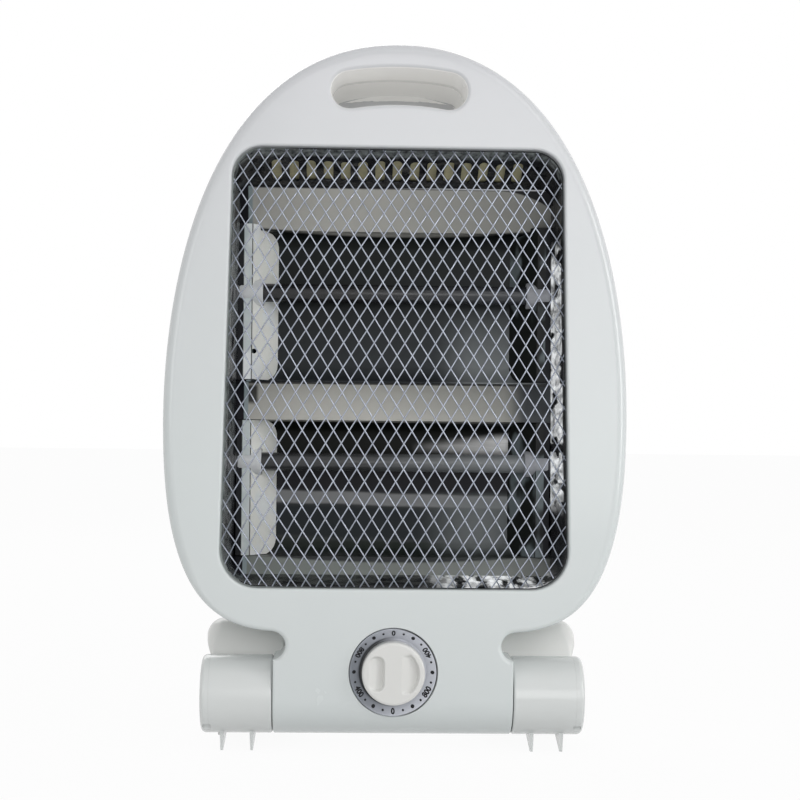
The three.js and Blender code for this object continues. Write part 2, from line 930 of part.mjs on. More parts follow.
function trayVents() {
  const vents = [];
  const y0 = trayFront + ventFrontMargin;
  const y1 = trayRear - ventRearMargin;
  const radius = ventWidth / 2;
  for (let k = 0; k < ventCount; k += 1) {
    const x = (k - (ventCount - 1) / 2) * ventPitch;
    const outline = [];
    for (let step = 0; step <= ventArcSegments; step += 1) {
      const angle = (step / ventArcSegments) * Math.PI;
      outline.push([x + radius * Math.cos(angle), y1 - radius + radius * Math.sin(angle)]);
    }
    for (let step = 0; step <= ventArcSegments; step += 1) {
      const angle = (step / ventArcSegments) * Math.PI;
      outline.push([x - radius * Math.cos(angle), y0 + radius - radius * Math.sin(angle)]);
    }
    vents.push(alongZ(
      outline.map(([u, v]) => new THREE.Vector2(u, v)),
      trayRearTop - windowTopRadius,
      windowTop + windowTopRadius,
    ));
  }
  return vents;
}

function reflectorTray() {
  const outer = loft([
    [windowOutline(-lipClearance), trayFront],
    [trayRearOutline(0), trayRear],
  ]);
  const inner = loft([
    [windowOutline(-lipClearance - trayWall), trayFront - overrun],
    [windowOutline(-lipClearance - trayWall), trayFront],
    [trayRearOutline(-trayWall), trayRear],
    [trayRearOutline(-trayWall), trayRear + overrun],
  ]);
  const room = rimRoom(trayFront - overrun, trayRear + overrun);
  const rim = alongY(windowOutline(grilleRimWidth), trayFront, trayFront + trayWall)
    .intersect(room);
  const rearRim = alongY(trayRearOutline(reflectorTab), trayRear - trayWall, trayRear);
  const full = join(outer, rim, rearRim);
  return cut(
    full,
    inner,
    ...trayVents(),
    ...trayScrewHoles(trayFront - overrun, trayFront + trayWall + overrun),
  );
}

// The reflector sheets, drawn as lines in the YZ plane and thickened to the rear.

const lip = trayRear + gap;

// Moves each point of a line to its left by a distance.
function offsetLine(points, distance) {
  const way = (from, to) => to.clone().sub(from).normalize();
  const last = points.length - 1;
  return points.map((point, i) => {
    const into = way(points[Math.max(i - 1, 0)], points[Math.max(i, 1)]);
    const out = way(points[Math.min(i, last - 1)], points[Math.min(i + 1, last)]);
    const along = into.add(out).normalize();
    const reach = distance / along.dot(out);
    return new THREE.Vector2(point.x - along.y * reach, point.y + along.x * reach);
  });
}

function strip(points, thickness) {
  return [...points, ...offsetLine(points, thickness).reverse()];
}

// The weights of a cubic curve's ends and of its two pulls at its middle.
const curveEndShare = 1 / 8;
const curvePullShare = 3 / 4;

// A trough from one lip to the next, its deepest point at a given Y.
function trough(from, to, deepest) {
  const pull = (deepest - (from.x + to.x) * curveEndShare) / curvePullShare;
  const curve = new THREE.CubicBezierCurve(
    from,
    new THREE.Vector2(pull, from.y),
    new THREE.Vector2(pull, to.y),
    to,
  );
  return curve.getPoints(crestSegments);
}

function upperLine() {
  return [
    new THREE.Vector2(lip, trayRearTop + reflectorTab),
    new THREE.Vector2(lip, trayRearTop),
    ...trough(
      new THREE.Vector2(lip + topPanelSlope, topPanelLow),
      new THREE.Vector2(lip, dividerTop),
      lip + troughDepth,
    ),
  ];
}

function lowerLine() {
  return [
    new THREE.Vector2(lip, dividerTop - sheet - gap),
    ...trough(
      new THREE.Vector2(lip, dividerBottom),
      new THREE.Vector2(lip + bottomPanelSlope, bottomPanelTop),
      lip + troughDepth,
    ),
    new THREE.Vector2(lip, trayRearBottom),
    new THREE.Vector2(lip, trayRearBottom - reflectorTab),
  ];
}

function reflector(line) {
  return alongX(strip(line, sheet), -reflectorHalf, reflectorHalf);
}

// All that lies behind a reflector's front face, less a clearance.
function behindReflector(line) {
  const face = offsetLine(line, -gap);
  const far = lip + 2 * troughDepth;
  const outline = [
    ...face,
    new THREE.Vector2(far, face.at(-1).y),
    new THREE.Vector2(far, face[0].y),
  ];
  return alongX(outline, -bodyHalf, bodyHalf);
}

// The right-hand end plate of one trough: a slanted face and an upright wall that holds the cap.
function endPlate(line, low, high, tubeHeight) {
  const plan = [
    new THREE.Vector2(endPlateOuterHalf, lip + troughDepth),
    new THREE.Vector2(endPlateOuterHalf, endPlateFoldY),
    new THREE.Vector2(endPlateFoldHalf, endPlateFoldY),
    new THREE.Vector2(endPlateDeepHalf, lip + troughDepth),
  ];
  const folded = alongZ(strip(plan, sheet), low, high);
  const groove = capRadius - capGrooveDepth + gap;
  return cut(
    folded,
    behindReflector(line),
    rodX(capRadius + gap, endPlateDeepHalf, endPlateOuterHalf, tubeY, tubeHeight, tubeSegments),
    box(
      endPlateDeepHalf,
      endPlateOuterHalf,
      endPlateFoldY - overrun,
      tubeY,
      tubeHeight - capRadius - gap,
      tubeHeight + capRadius + gap,
    ),
    rodX(
      groove,
      endPlateFoldHalf,
      endPlateOuterHalf + 2 * sheet,
      tubeY,
      tubeHeight,
      tubeSegments,
    ),
    box(
      endPlateFoldHalf,
      endPlateOuterHalf + 2 * sheet,
      endPlateFoldY - overrun,
      tubeY,
      tubeHeight - groove,
      tubeHeight + groove,
    ),
  );
}

// The heating tubes.

function quartzTube(z) {
  return turnedX(
    [
      [tubeRadius - tubeWall, -tubeHalf],
      [tubeRadius, -tubeHalf],
      [tubeRadius, tubeHalf],
      [tubeRadius - tubeWall, tubeHalf],
    ],
    tubeY,
    z,
    tubeSegments,
  );
}

function heatingCoil(z) {
  return rodX(coilRadius, -tubeHalf, tubeHalf, tubeY, z, smallSegments);
}

function ceramicCap(z) {
  const seat = tubeHalf + gap;
  const wallFront = endPlateOuterHalf - gap;
  const wallBack = endPlateOuterHalf + sheet + gap;
  const outer = capInner + capLength;
  const grooved = capRadius - capGrooveDepth;
  return turnedX(
    [
      [tubeRadius + gap, capInner],
      [capRadius, capInner],
      [capRadius, wallFront],
      [grooved, wallFront],
      [grooved, wallBack],
      [capRadius, wallBack],
      [capRadius, outer],
      [terminalRadius + gap, outer],
      [terminalRadius + gap, seat],
      [tubeRadius + gap, seat],
    ],
    tubeY,
    z,
    tubeSegments,
  );
}

function terminal(z) {
  const outer = capInner + capLength;
  const pin = rodX(terminalRadius, tubeHalf + gap, outer + terminalReach, tubeY, z, smallSegments);
  const tab = box(
    outer + gap,
    outer + tabLength,
    tubeY - tabThickness / 2,
    tubeY + tabThickness / 2,
    z - tabWidth / 2,
    z + tabWidth / 2,
  );
  return join(pin, tab);
}

// The dial and the rotary switch.

const dialFloorFront = front + dialDepth;
const dialFloorBack = dialFloorFront + dialFloor;
const switchFace = dialFloorBack + gap + dialFloor + gap;
const nutBack = dialFloorFront - gap;
const bushingFront = nutBack - nutThickness - gap;
const knobBack = dialFloorFront - knobFloorGap;
const knobCeiling = bushingFront - gap;
const shaftBack = switchFace + switchDepth / 2;
const shaftFront = knobCeiling - shaftEngagement;

function dialRing() {
  return turnedY(
    [
      [dialRadius, front],
      [dialRadius, dialFloorBack],
      [bushingRadius + gap, dialFloorBack],
      [bushingRadius + gap, dialFloorFront],
      [dialFloorRadius, dialFloorFront],
    ],
    0,
    dialHeight,
    dialSegments,
  );
}

function knob() {
  const face = -knobFront;
  const edge = [];
  for (let k = 0; k <= 3; k += 1) {
    const angle = (k / 3) * (Math.PI / 2);
    edge.push([
      knobRadius - knobEdgeRadius * (1 - Math.sin(angle)),
      face + knobEdgeRadius * (1 - Math.cos(angle)),
    ]);
  }
  const turned = turnedY(
    [
      [0, face],
      ...edge,
      [knobRadius, knobBack],
      [knobRadius - knobWall, knobBack],
      [knobRadius - knobWall, knobCeiling],
      [shaftRadius + gap, knobCeiling],
      [shaftRadius + gap, shaftFront - gap],
      [0, shaftFront - gap],
    ],
    0,
    dialHeight,
    dialSegments,
  );
  const scoops = [-1, 1].map((side) => {
    const shape = new THREE.SphereGeometry(1, pinSegments, pinSegments / 2)
      .scale(scoopHalfWidth, scoopDepth, scoopHalfHeight)
      .translate(side * scoopCentre, face, dialHeight);
    return solidOf(shape);
  });
  return cut(turned, ...scoops);
}

function shaftSolid(grow, y0, y1) {
  const round = rod(shaftRadius + grow, y0, y1, 0, dialHeight, tubeSegments);
  const flat = dialHeight + shaftRadius - shaftFlat;
  const above = flat + shaftRadius;
  return round.subtract(
    box(-shaftRadius, shaftRadius, y0 - overrun, knobCeiling, flat + grow, above),
  );
}

function rotarySwitch() {
  const body = box(
    -switchWidth / 2,
    switchWidth / 2,
    switchFace,
    switchFace + switchDepth,
    dialHeight - switchHeight / 2,
    dialHeight + switchHeight / 2,
  );
  const bushing = rod(
    bushingRadius,
    bushingFront,
    switchFace + overrun,
    0,
    dialHeight,
    tubeSegments,
  );
  const lugs = [-1, 0, 1].map((place) => box(
    place * 2 * switchLugWidth - switchLugWidth / 2,
    place * 2 * switchLugWidth + switchLugWidth / 2,
    switchFace + switchDepth - overrun,
    switchFace + switchDepth + switchLugLength,
    dialHeight - tabThickness / 2,
    dialHeight + tabThickness / 2,
  ));
  const bore = rod(
    shaftRadius + gap,
    bushingFront - overrun,
    shaftBack + gap,
    0,
    dialHeight,
    tubeSegments,
  );
  return cut(join(body, bushing, ...lugs), bore);
}

function switchNut() {
  const nutFront = nutBack - nutThickness;
  const hexagon = rod(nutRadius, nutFront, nutBack, 0, dialHeight, nutSides);
  return hexagon.subtract(rod(
    bushingRadius + gap,
    nutFront - overrun,
    nutBack + overrun,
    0,
    dialHeight,
    tubeSegments,
  ));
}

// The right foot: a sleeve on the stub, an arched rear part open below, and two ribs.

const footInner = baseHalf + footSeam;
const sleeveEnd = footEnd - footCapLength - gap;
const webBack = stubEnd - gap;

function footSide() {
  const root = (footRootAngle * Math.PI) / 180;
  const crest = footCrestHeight - axisHeight;
  const start = new THREE.Vector2(baseRadius * Math.cos(root), baseRadius * Math.sin(root));
  const rise = crest - start.y;
  const run = footTailY - footCrestY;
  const climb = new THREE.CubicBezierCurve(
    start,
    new THREE.Vector2(
      start.x + (footCrestY - start.x) * footRootReachShare,
      start.y + rise * footRootRiseShare,
    ),
    new THREE.Vector2(start.x + (footCrestY - start.x) * footCrestPullShare, crest),
    new THREE.Vector2(footCrestY, crest),
  );
  const fall = new THREE.CubicBezierCurve(
    new THREE.Vector2(footCrestY, crest),
    new THREE.Vector2(footCrestY + run * footCrestPullShare, crest),
    new THREE.Vector2(
      footTailY - run * footToeReachShare,
      crest - (crest + axisHeight) * footToeRiseShare,
    ),
    new THREE.Vector2(footTailY, -axisHeight),
  );
  return [...climb.getPoints(arcSegments + 1), ...fall.getPoints(crestSegments).slice(1)];
}

function footPaddle() {
  const lift = (points) => points.map((p) => new THREE.Vector2(p.x, p.y + axisHeight));
  const side = footSide();
  const tail = [
    new THREE.Vector2(footSkirtFront + baseRadius / 2, -axisHeight),
    new THREE.Vector2(baseRadius / 2, -baseRadius / 2),
  ];
  const inner = offsetLine(side, -footWall);
  const innerTail = [
    new THREE.Vector2(footTailY - footWall, -axisHeight - overrun),
    new THREE.Vector2(footSkirtFront + baseRadius / 2 + footWall, -axisHeight - overrun),
    new THREE.Vector2(baseRadius / 2 + footWall, -baseRadius / 2 + footWall / 2),
  ];
  const outline = (inset) => roundedOutline([
    [footHidden + inset, -3 * overrun, overrun],
    [footEnd - footTaper - inset, -3 * overrun, overrun],
    [footEnd - footTaper - inset, footWaistHeight, footWaistRadius],
    [footEnd - inset, footCrestHeight - inset, footCornerRadius - inset],
    [footHidden + inset, footCrestHeight - inset, footWall + overrun - inset / 2],
  ]);
  const outer = alongX(lift([...side, ...tail]), footHidden, footEnd)
    .intersect(alongY(outline(0), 0, footTailY + overrun));
  const hollow = alongX(lift([...inner.slice(0, -1), ...innerTail]), footHidden, footEnd)
    .intersect(alongY(outline(footWall), 0, footTailY - footToeLength));
  return cut(outer, hollow.subtract(baseSweep(footWall)), baseSweep(0));
}

// The room behind the base and neck that the paddle's inner part swings clear of.
function baseSweep(grow) {
  const reach = baseRadius + footSeam + grow;
  const end = footInner + grow;
  return join(
    rodX(reach, footHidden - overrun, end, 0, axisHeight),
    box(footHidden - overrun, end, -overrun, reach, axisHeight, footCrestHeight + overrun),
  );
}

function footRib(x) {
  const high = axisHeight - baseRadius / 3;
  const outline = [
    new THREE.Vector2(x - ribTip / 2, 0),
    new THREE.Vector2(x + ribTip / 2, 0),
    new THREE.Vector2(x + ribRoot / 2, axisHeight - baseRadius),
    new THREE.Vector2(x + ribRoot / 2, high),
    new THREE.Vector2(x - ribRoot / 2, high),
    new THREE.Vector2(x - ribRoot / 2, axisHeight - baseRadius),
  ];
  return alongY(outline, -ribFront, footTailY - footToeLength + overrun);
}

function foot() {
  const sleeve = rodX(baseRadius, footInner, sleeveEnd, 0, axisHeight);
  const inside = (x0, x1, radius) => rodX(radius, x0, x1, 0, axisHeight);
  const capRoom = rodX(baseRadius + gap, sleeveEnd, footEnd + overrun, 0, axisHeight);
  const notch = box(
    sleeveEnd - notchWidth,
    sleeveEnd + overrun,
    -baseRadius,
    -baseRadius / 2,
    axisHeight - notchDrop - notchHeight / 2,
    axisHeight - notchDrop + notchHeight / 2,
  );
  return cut(
    join(sleeve, footPaddle().subtract(capRoom), footRib(ribInner), footRib(ribOuter)),
    inside(footInner - overrun, sleeveEnd + overrun, stubRadius + gap),
    inside(footInner + footWebThickness, webBack - footWebThickness, baseRadius - footWall),
    inside(webBack, sleeveEnd + overrun, baseRadius - footWall),
    notch,
  );
}

function footCap() {
  const start = sleeveEnd + gap;
  const spigot = baseRadius - footWall - gap;
  const inner = washerRadius + gap;
  const edge = [];
  for (let k = 0; k <= arcSegments; k += 1) {
    const angle = (k / arcSegments) * (Math.PI / 2);
    edge.push([
      baseRadius - footCapRadius * (1 - Math.cos(angle)),
      footEnd - footCapRadius * (1 - Math.sin(angle)),
    ]);
  }
  return turnedX(
    [
      [0, footEnd],
      ...edge.reverse(),
      [baseRadius, start],
      [spigot, start],
      [spigot, webBack + gap],
      [inner, webBack + gap],
      [inner, footEnd - footWall],
      [0, footEnd - footWall],
    ],
    0,
    axisHeight,
  );
}

const washerInner = stubEnd + gap;
const footScrewSeat = washerInner + washerThickness + gap;

function footWasher() {
  const hole = footScrewRadius + gap;
  return turnedX(
    [
      [hole, washerInner],
      [washerRadius, washerInner],
      [washerRadius, washerInner + washerThickness],
      [hole, washerInner + washerThickness],
    ],
    0,
    axisHeight,
  );
}

// A screw along an axis: its head starts at seat and its shank points the other way.
function screwProfile(radius, head, headHeight, length, seat, way) {
  return [
    [0, seat + way * headHeight],
    [head, seat + way * headHeight],
    [head, seat],
    [radius, seat],
    [radius, seat - way * length],
    [0, seat - way * length],
  ];
}

function footScrew() {
  const length = footScrewLength - footScrewRadius;
  return turnedX(
    screwProfile(footScrewRadius, footScrewHead, screwHeadHeight, length, footScrewSeat, 1),
    0,
    axisHeight,
    pinSegments,
  );
}

function bodyScrew([x, z]) {
  const seat = screwSeat(z) + gap;
  const length = seat - seamFront + screwLength - 2 * gap;
  return turnedY(
    screwProfile(screwRadius, screwHeadRadius, screwHeadHeight, length, seat, 1),
    x,
    z,
    smallSegments,
  );
}

function trayScrew([x, z]) {
  const seat = trayFront + trayWall + gap;
  return turnedY(
    screwProfile(trayScrewRadius, trayScrewHead, trayScrewHeadHeight, trayScrewLength, seat, 1),
    x,
    z,
    smallSegments,
  );
}

// The parts inside the base and behind the reflector.

function cordGland() {
  const inner = seamFront - gap - 2 * wall;
  return turnedY(
    [
      [glandBore, inner],
      [glandFlange, inner],
      [glandFlange, inner + wall - gap],
      [glandRadius, inner + wall - gap],
      [glandRadius, baseRadius + gap],
      [glandRadius + wall / 2, baseRadius + gap],
      [glandRadius, baseRadius + glandReach / 3],
      [glandBore + wall / 2, baseRadius + glandReach],
      [glandBore, baseRadius + glandReach],
    ],
    0,
    axisHeight,
    tubeSegments,
  );
}

// The height of the base's inner floor at a distance in front of or behind its axis.
function baseFloor(y) {
  return axisHeight - Math.sqrt((baseRadius - wall) ** 2 - y ** 2);
}

const tiltCaseBottom = baseFloor(tiltCaseDepth / 2) + gap;
const tiltPinHeight = tiltCaseBottom + tiltCaseHeight - 2 * tiltCaseWall - tiltPinRadius;

function tiltCase() {
  const halfWidth = tiltCaseWidth / 2;
  const halfDepth = tiltCaseDepth / 2;
  const top = tiltCaseBottom + tiltCaseHeight;
  const outer = box(
    tiltCaseX - halfWidth,
    tiltCaseX + halfWidth,
    -halfDepth,
    halfDepth,
    tiltCaseBottom,
    top,
  );
  const inner = box(
    tiltCaseX - halfWidth + tiltCaseWall,
    tiltCaseX + halfWidth - tiltCaseWall,
    -halfDepth + tiltCaseWall,
    halfDepth + overrun,
    tiltCaseBottom + tiltCaseWall,
    top - tiltCaseWall,
  );
  return cut(
    outer,
    inner,
    rodX(
      tiltPinRadius + gap,
      tiltCaseX - halfWidth - overrun,
      tiltCaseX + halfWidth + overrun,
      0,
      tiltPinHeight,
      pinSegments,
    ),
  );
}

function tiltPin() {
  const half = tiltCaseWidth / 2;
  return rodX(tiltPinRadius, tiltCaseX - half, tiltCaseX + half, 0, tiltPinHeight, pinSegments);
}

function tiltWeight() {
  const bobTop = tiltPinHeight - tiltArmLength + tiltBobHeight / 2;
  const bob = solidOf(
    new THREE.CylinderGeometry(tiltBobRadius, tiltBobRadius, tiltBobHeight, tubeSegments)
      .rotateX(Math.PI / 2)
      .translate(tiltCaseX, 0, bobTop - tiltBobHeight / 2),
  );
  const arm = box(
    tiltCaseX - tiltPinRadius,
    tiltCaseX + tiltPinRadius,
    -tiltPinRadius,
    tiltPinRadius,
    bobTop - overrun,
    tiltPinHeight,
  );
  const eye = rodX(
    2 * tiltPinRadius,
    tiltCaseX - tiltPinRadius,
    tiltCaseX + tiltPinRadius,
    0,
    tiltPinHeight,
    pinSegments,
  );
  const bore = rodX(
    tiltPinRadius + gap,
    tiltCaseX - tiltCaseWidth,
    tiltCaseX + tiltCaseWidth,
    0,
    tiltPinHeight,
    pinSegments,
  );
  return join(bob, arm, eye).subtract(bore);
}

function thermalCutout() {
  const z = (dividerTop + dividerBottom) / 2;
  const back = lip + sheet + gap;
  const can = rod(cutoutRadius, back, back + cutoutHeight, 0, z, tubeSegments);
  const ears = box(
    -cutoutEarReach,
    cutoutEarReach,
    back,
    back + sheet,
    z - cutoutEarWidth / 2,
    z + cutoutEarWidth / 2,
  );
  return join(can, ears);
}

function terminalBlock() {
  const bottom = baseFloor(blockDepth / 2) + gap;
  const block = box(
    blockX - blockLength / 2,
    blockX + blockLength / 2,
    -blockDepth / 2,
    blockDepth / 2,
    bottom,
    bottom + blockHeight,
  );
  const bores = [-1, 0, 1].map((place) => rod(
    blockBoreRadius,
    -blockDepth,
    blockDepth,
    blockX + (place * blockLength) / 3,
    bottom + blockHeight / 2,
    smallSegments,
  ));
  return cut(block, ...bores);
}

// The leads inside the body, each from a terminal of a tube to what it feeds.

const tabEnd = capInner + capLength + tabLength + gap;
const lugEnd = switchFace + switchDepth + switchLugLength + gap;
const cutoutFace = lip + sheet + gap + cutoutHeight + gap;
const cutoutZ = (dividerTop + dividerBottom) / 2;
const leadInset = 20;
const leadX = bodyHalf - leadInset;
const outerLeadRoute = [
  [tabEnd, tubeY, upperTubeHeight],
  [leadX - 3, tubeY, upperTubeHeight],
  [leadX + 0.5, 33, upperTubeHeight - 5],
  [leadX + 2, 41, upperTubeHeight - 26],
  [leadX + 1, 43, cutoutZ - 3],
  [leadX + 0.5, 42, lowerTubeHeight - 9],
  [leadX - 2, 40, windowBottom + 23.5],
  [leadX - 17, 38, windowBottom + 0.5],
  [46, 25, undersideHeight + 13.3],
  [24, 14, undersideHeight + 7.3],
  [15, 14.5, 58],
  [10.6, 15, 49],
  [2 * switchLugWidth, 13.6, 43.6],
  [2 * switchLugWidth, lugEnd, dialHeight],
];
const innerLeadRoute = [
  [tabEnd, tubeY, lowerTubeHeight],
  [leadX - 3, tubeY, lowerTubeHeight],
  [leadX - 2, 34, lowerTubeHeight - 9.5],
  [leadX - 4, 41, lowerTubeHeight - 21.5],
  [leadX - 10, 46, windowBottom + 27.5],
  [leadX - 30, 45, windowBottom + 5.5],
  [44, 32, windowBottom - 0.5],
  [18, 15, undersideHeight + 9.8],
  [4, 13.5, 60],
  [0, 15, 49],
  [0, 13.6, 43.6],
  [0, lugEnd, dialHeight],
];
const cutoutLeadRoute = [
  [tabEnd, tubeY, lowerTubeHeight],
  [leadX - 3, tubeY, lowerTubeHeight],
  [leadX - 1, 34, lowerTubeHeight + 5.5],
  [leadX - 2, 41, lowerTubeHeight + 13.5],
  [leadX - 10, 45.5, cutoutZ - 13],
  [leadX - 40, 47, cutoutZ - 3],
  [22, 46.5, cutoutZ],
  [6, 41, cutoutZ],
  [3, cutoutFace, cutoutZ],
];

function lead(route, side) {
  const points = route.map(([x, y, z]) => new THREE.Vector3(side * x, y, z));
  const section = new THREE.Shape();
  for (let k = 0; k < leadSides; k += 1) {
    const angle = (k / leadSides) * 2 * Math.PI;
    const [u, v] = [leadRadius * Math.cos(angle), leadRadius * Math.sin(angle)];
    if (k === 0) section.moveTo(u, v);
    else section.lineTo(u, v);
  }
  section.closePath();
  return solidOf(new THREE.ExtrudeGeometry(section, {
    steps: leadSteps,
    bevelEnabled: false,
    extrudePath: new THREE.CatmullRomCurve3(points),
  }));
}

// Materials, each made new for the piece that wears it.

const finishes = {
  shell: [0xd9dcde, 0.35, 0],
  foot: [0xcfd3d4, 0.38, 0],
  steel: [0xb9bfc6, 0.35, 1],
  tray: [0x8b9096, 0.3, 1],
  mirror: [0xc9ccd0, 0.12, 1],
  quartz: [0xaeb2b4, 0.3, 0],
  wire: [0x77706a, 0.5, 1],
  ceramic: [0xe4e1d8, 0.7, 0],
  brass: [0xb79a55, 0.4, 1],
  dial: [0xb9bac8, 0.5, 0],
  black: [0x26272a, 0.5, 0],
  grey: [0x6d7176, 0.6, 0],
  red: [0x9a2f28, 0.6, 0],
  white: [0xe8e8e4, 0.6, 0],
};

function piece(name, finish, solid) {
  const [color, roughness, metalness] = finishes[finish];
  const material = new THREE.MeshStandardMaterial({ color, roughness, metalness });
  const mesh = new THREE.Mesh(geometryOf(solid), material);
  mesh.name = name;
  return mesh;
}

function bothSides(name, finish, solid) {
  return [
    piece(`left_${name}`, finish, mirroredX(solid)),
    piece(`right_${name}`, finish, solid),
  ];
}

function shellPieces() {
  return [piece("front_shell", "shell", frontShell()), piece("back_shell", "shell", backShell())];
}

function chamberPieces() {
  const upperPlate = endPlate(upperLine(), dividerTop + gap, trayRearTop - gap, upperTubeHeight);
  const lowerPlate = endPlate(
    lowerLine(),
    trayRearBottom + gap,
    dividerBottom - gap,
    lowerTubeHeight,
  );
  return [
    piece("grille", "steel", grille()),
    piece("reflector_tray", "tray", reflectorTray()),
    piece("upper_reflector", "mirror", reflector(upperLine())),
    piece("lower_reflector", "mirror", reflector(lowerLine())),
    ...bothSides("upper_end_plate", "mirror", upperPlate),
    ...bothSides("lower_end_plate", "mirror", lowerPlate),
  ];
}

function tubePieces(level, z) {
  return [
    piece(`${level}_quartz_tube`, "quartz", quartzTube(z)),
    piece(`${level}_heating_coil`, "wire", heatingCoil(z)),
    ...bothSides(`${level}_ceramic_cap`, "ceramic", ceramicCap(z)),
    ...bothSides(`${level}_terminal`, "brass", terminal(z)),
  ];
}

function dialPieces() {
  return [
    piece("dial_ring", "dial", dialRing()),
    piece("knob", "shell", knob()),
    piece("switch_shaft", "white", shaftSolid(0, shaftFront, shaftBack)),
    piece("rotary_switch", "black", rotarySwitch()),
    piece("switch_nut", "steel", switchNut()),
  ];
}

function footPieces() {
  return [
    ...bothSides("foot", "foot", foot()),
    ...bothSides("foot_cap", "foot", footCap()),
    ...bothSides("foot_washer", "steel", footWasher()),
    ...bothSides("foot_screw", "steel", footScrew()),
  ];
}

function screwPieces() {
  return [
    ...bodyScrews.map((place, k) => piece(`body_screw_${k + 1}`, "steel", bodyScrew(place))),
    ...trayScrews.map((place, k) => piece(`tray_screw_${k + 1}`, "steel", trayScrew(place))),
  ];
}

function inwardPieces() {
  return [
    piece("cord_gland", "grey", cordGland()),
    piece("tilt_switch_case", "grey", tiltCase()),
    piece("tilt_switch_pin", "steel", tiltPin()),
    piece("tilt_switch_weight", "steel", tiltWeight()),
    piece("thermal_cutout", "black", thermalCutout()),
    piece("terminal_block", "white", terminalBlock()),
    piece("left_upper_lead", "red", lead(outerLeadRoute, -1)),
    piece("right_upper_lead", "white", lead(outerLeadRoute, 1)),
    piece("left_lower_lead", "red", lead(innerLeadRoute, -1)),
    piece("cutout_lead", "white", lead(cutoutLeadRoute, 1)),
  ];
}

const heater = new THREE.Group();
heater.add(
  ...shellPieces(),
  ...chamberPieces(),
  ...tubePieces("upper", upperTubeHeight),
  ...tubePieces("lower", lowerTubeHeight),
  ...dialPieces(),
  ...footPieces(),
  ...screwPieces(),
  ...inwardPieces(),
);

// The origin is on the floor under the middle of the whole part.
const frontMost = rimFront - grilleRise;
heater.position.y = -(frontMost + footTailY) / 2;

export default heater;
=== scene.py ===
"""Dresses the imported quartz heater: smooth moulded shells, a wire grille, folded reflectors,
frosted tubes, a printed dial and studio light. Lengths are in millimetres in the part's own
frame, whose Y starts at the hinge axis of the feet, and become metres where a mesh is made."""

import math

import bmesh
import bpy
import numpy as np
from mathutils import Matrix, Vector, noise
from mathutils.geometry import delaunay_2d_cdt

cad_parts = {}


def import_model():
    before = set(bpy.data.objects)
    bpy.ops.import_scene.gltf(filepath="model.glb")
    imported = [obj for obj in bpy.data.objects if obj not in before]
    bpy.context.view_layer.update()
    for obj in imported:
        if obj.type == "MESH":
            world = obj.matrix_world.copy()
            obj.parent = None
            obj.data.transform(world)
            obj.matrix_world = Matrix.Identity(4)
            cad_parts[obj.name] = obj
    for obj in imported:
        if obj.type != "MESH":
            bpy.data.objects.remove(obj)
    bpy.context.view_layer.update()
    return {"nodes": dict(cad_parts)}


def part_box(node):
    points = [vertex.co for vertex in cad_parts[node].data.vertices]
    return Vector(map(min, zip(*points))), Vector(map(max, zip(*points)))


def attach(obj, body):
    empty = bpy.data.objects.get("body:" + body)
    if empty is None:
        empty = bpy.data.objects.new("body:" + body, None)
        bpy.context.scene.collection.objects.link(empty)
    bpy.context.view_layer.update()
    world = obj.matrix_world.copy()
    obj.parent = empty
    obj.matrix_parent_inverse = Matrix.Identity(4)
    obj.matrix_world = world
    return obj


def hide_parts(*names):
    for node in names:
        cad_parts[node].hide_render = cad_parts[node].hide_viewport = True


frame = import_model()

MM = 0.001
FRONT = Vector((0, -1, 0))
REAR = Vector((0, 1, 0))
UP = Vector((0, 0, 1))
SHARP = 38
DRILL_POINT = 0.001

SIDES = {"left": -1, "right": 1}

# The egg of the body; each pull is the share of the way to its corner that a handle reaches.
BODY_HALF = 120.0
BODY_TOP = 366.6
WIDEST = 172.0
UNDERSIDE = 63.2
UNDERSIDE_HALF = 59.0
CROWN_PULL = 0.75
SHOULDER_PULL = 0.4625
HIP_PULL = 0.66
BELLY_PULL = 0.75

# The shells: the seam between them, the rounded back and the base round the feet's hinge axis.
SEAM = 16.3
SEAM_HALF_GAP = 0.15
SEAM_BEVEL = 0.25
SEAM_BEVEL_DEPTH = 0.3
BACK = 54.3
BACK_DRAFT = 6.0
BACK_ROUND = 14.0
EDGE_ROUND = 6.0
WALL = 2.2
AXIS = 28.4
BASE_RADIUS = 20.3
BASE_HALF = 62.0
STUB_RADIUS = 14.0
STUB_END = 93.5
STUB_CHAMFER = 0.8
STUB_HOLE = 2.2
STUB_HOLE_DEPTH = 13.0
AXIS_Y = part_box("dial_ring")[0].y + BASE_RADIUS * MM

# The window, the handle slot and the dial.
WINDOW_TOP = 312.6
WINDOW_BOTTOM = 85.4
WINDOW_TOP_HALF = 85.2
WINDOW_BOTTOM_HALF = 90.4
WINDOW_TOP_ROUND = 15.5
WINDOW_BOTTOM_ROUND = 19.5
WINDOW_EDGE = 1.4
LIP_END = -13.9
SLOT_HEIGHT = 344.4
SLOT_HALF_LENGTH = 35.2
SLOT_HALF_HEIGHT = 9.6
SLOT_ARCH = 150.0
SLOT_EDGE = 2.0
SLOT_BACK = 51.9
DIAL_HEIGHT = 42.6
DIAL_RADIUS = 22.5
DIAL_FLOOR_RADIUS = 17.2
DIAL_FLOOR = -16.0
DIAL_BACK = -14.4
SHAFT_HOLE = 4.8
# The radius inside which the knob's painted shadow falls on the dial.
KNOB_SHADOW_RADIUS = 17.8
SEAT_SUNK = 0.45
SEAT_THICKNESS = 0.25
SEAT_RADIUS = DIAL_RADIUS + 0.4

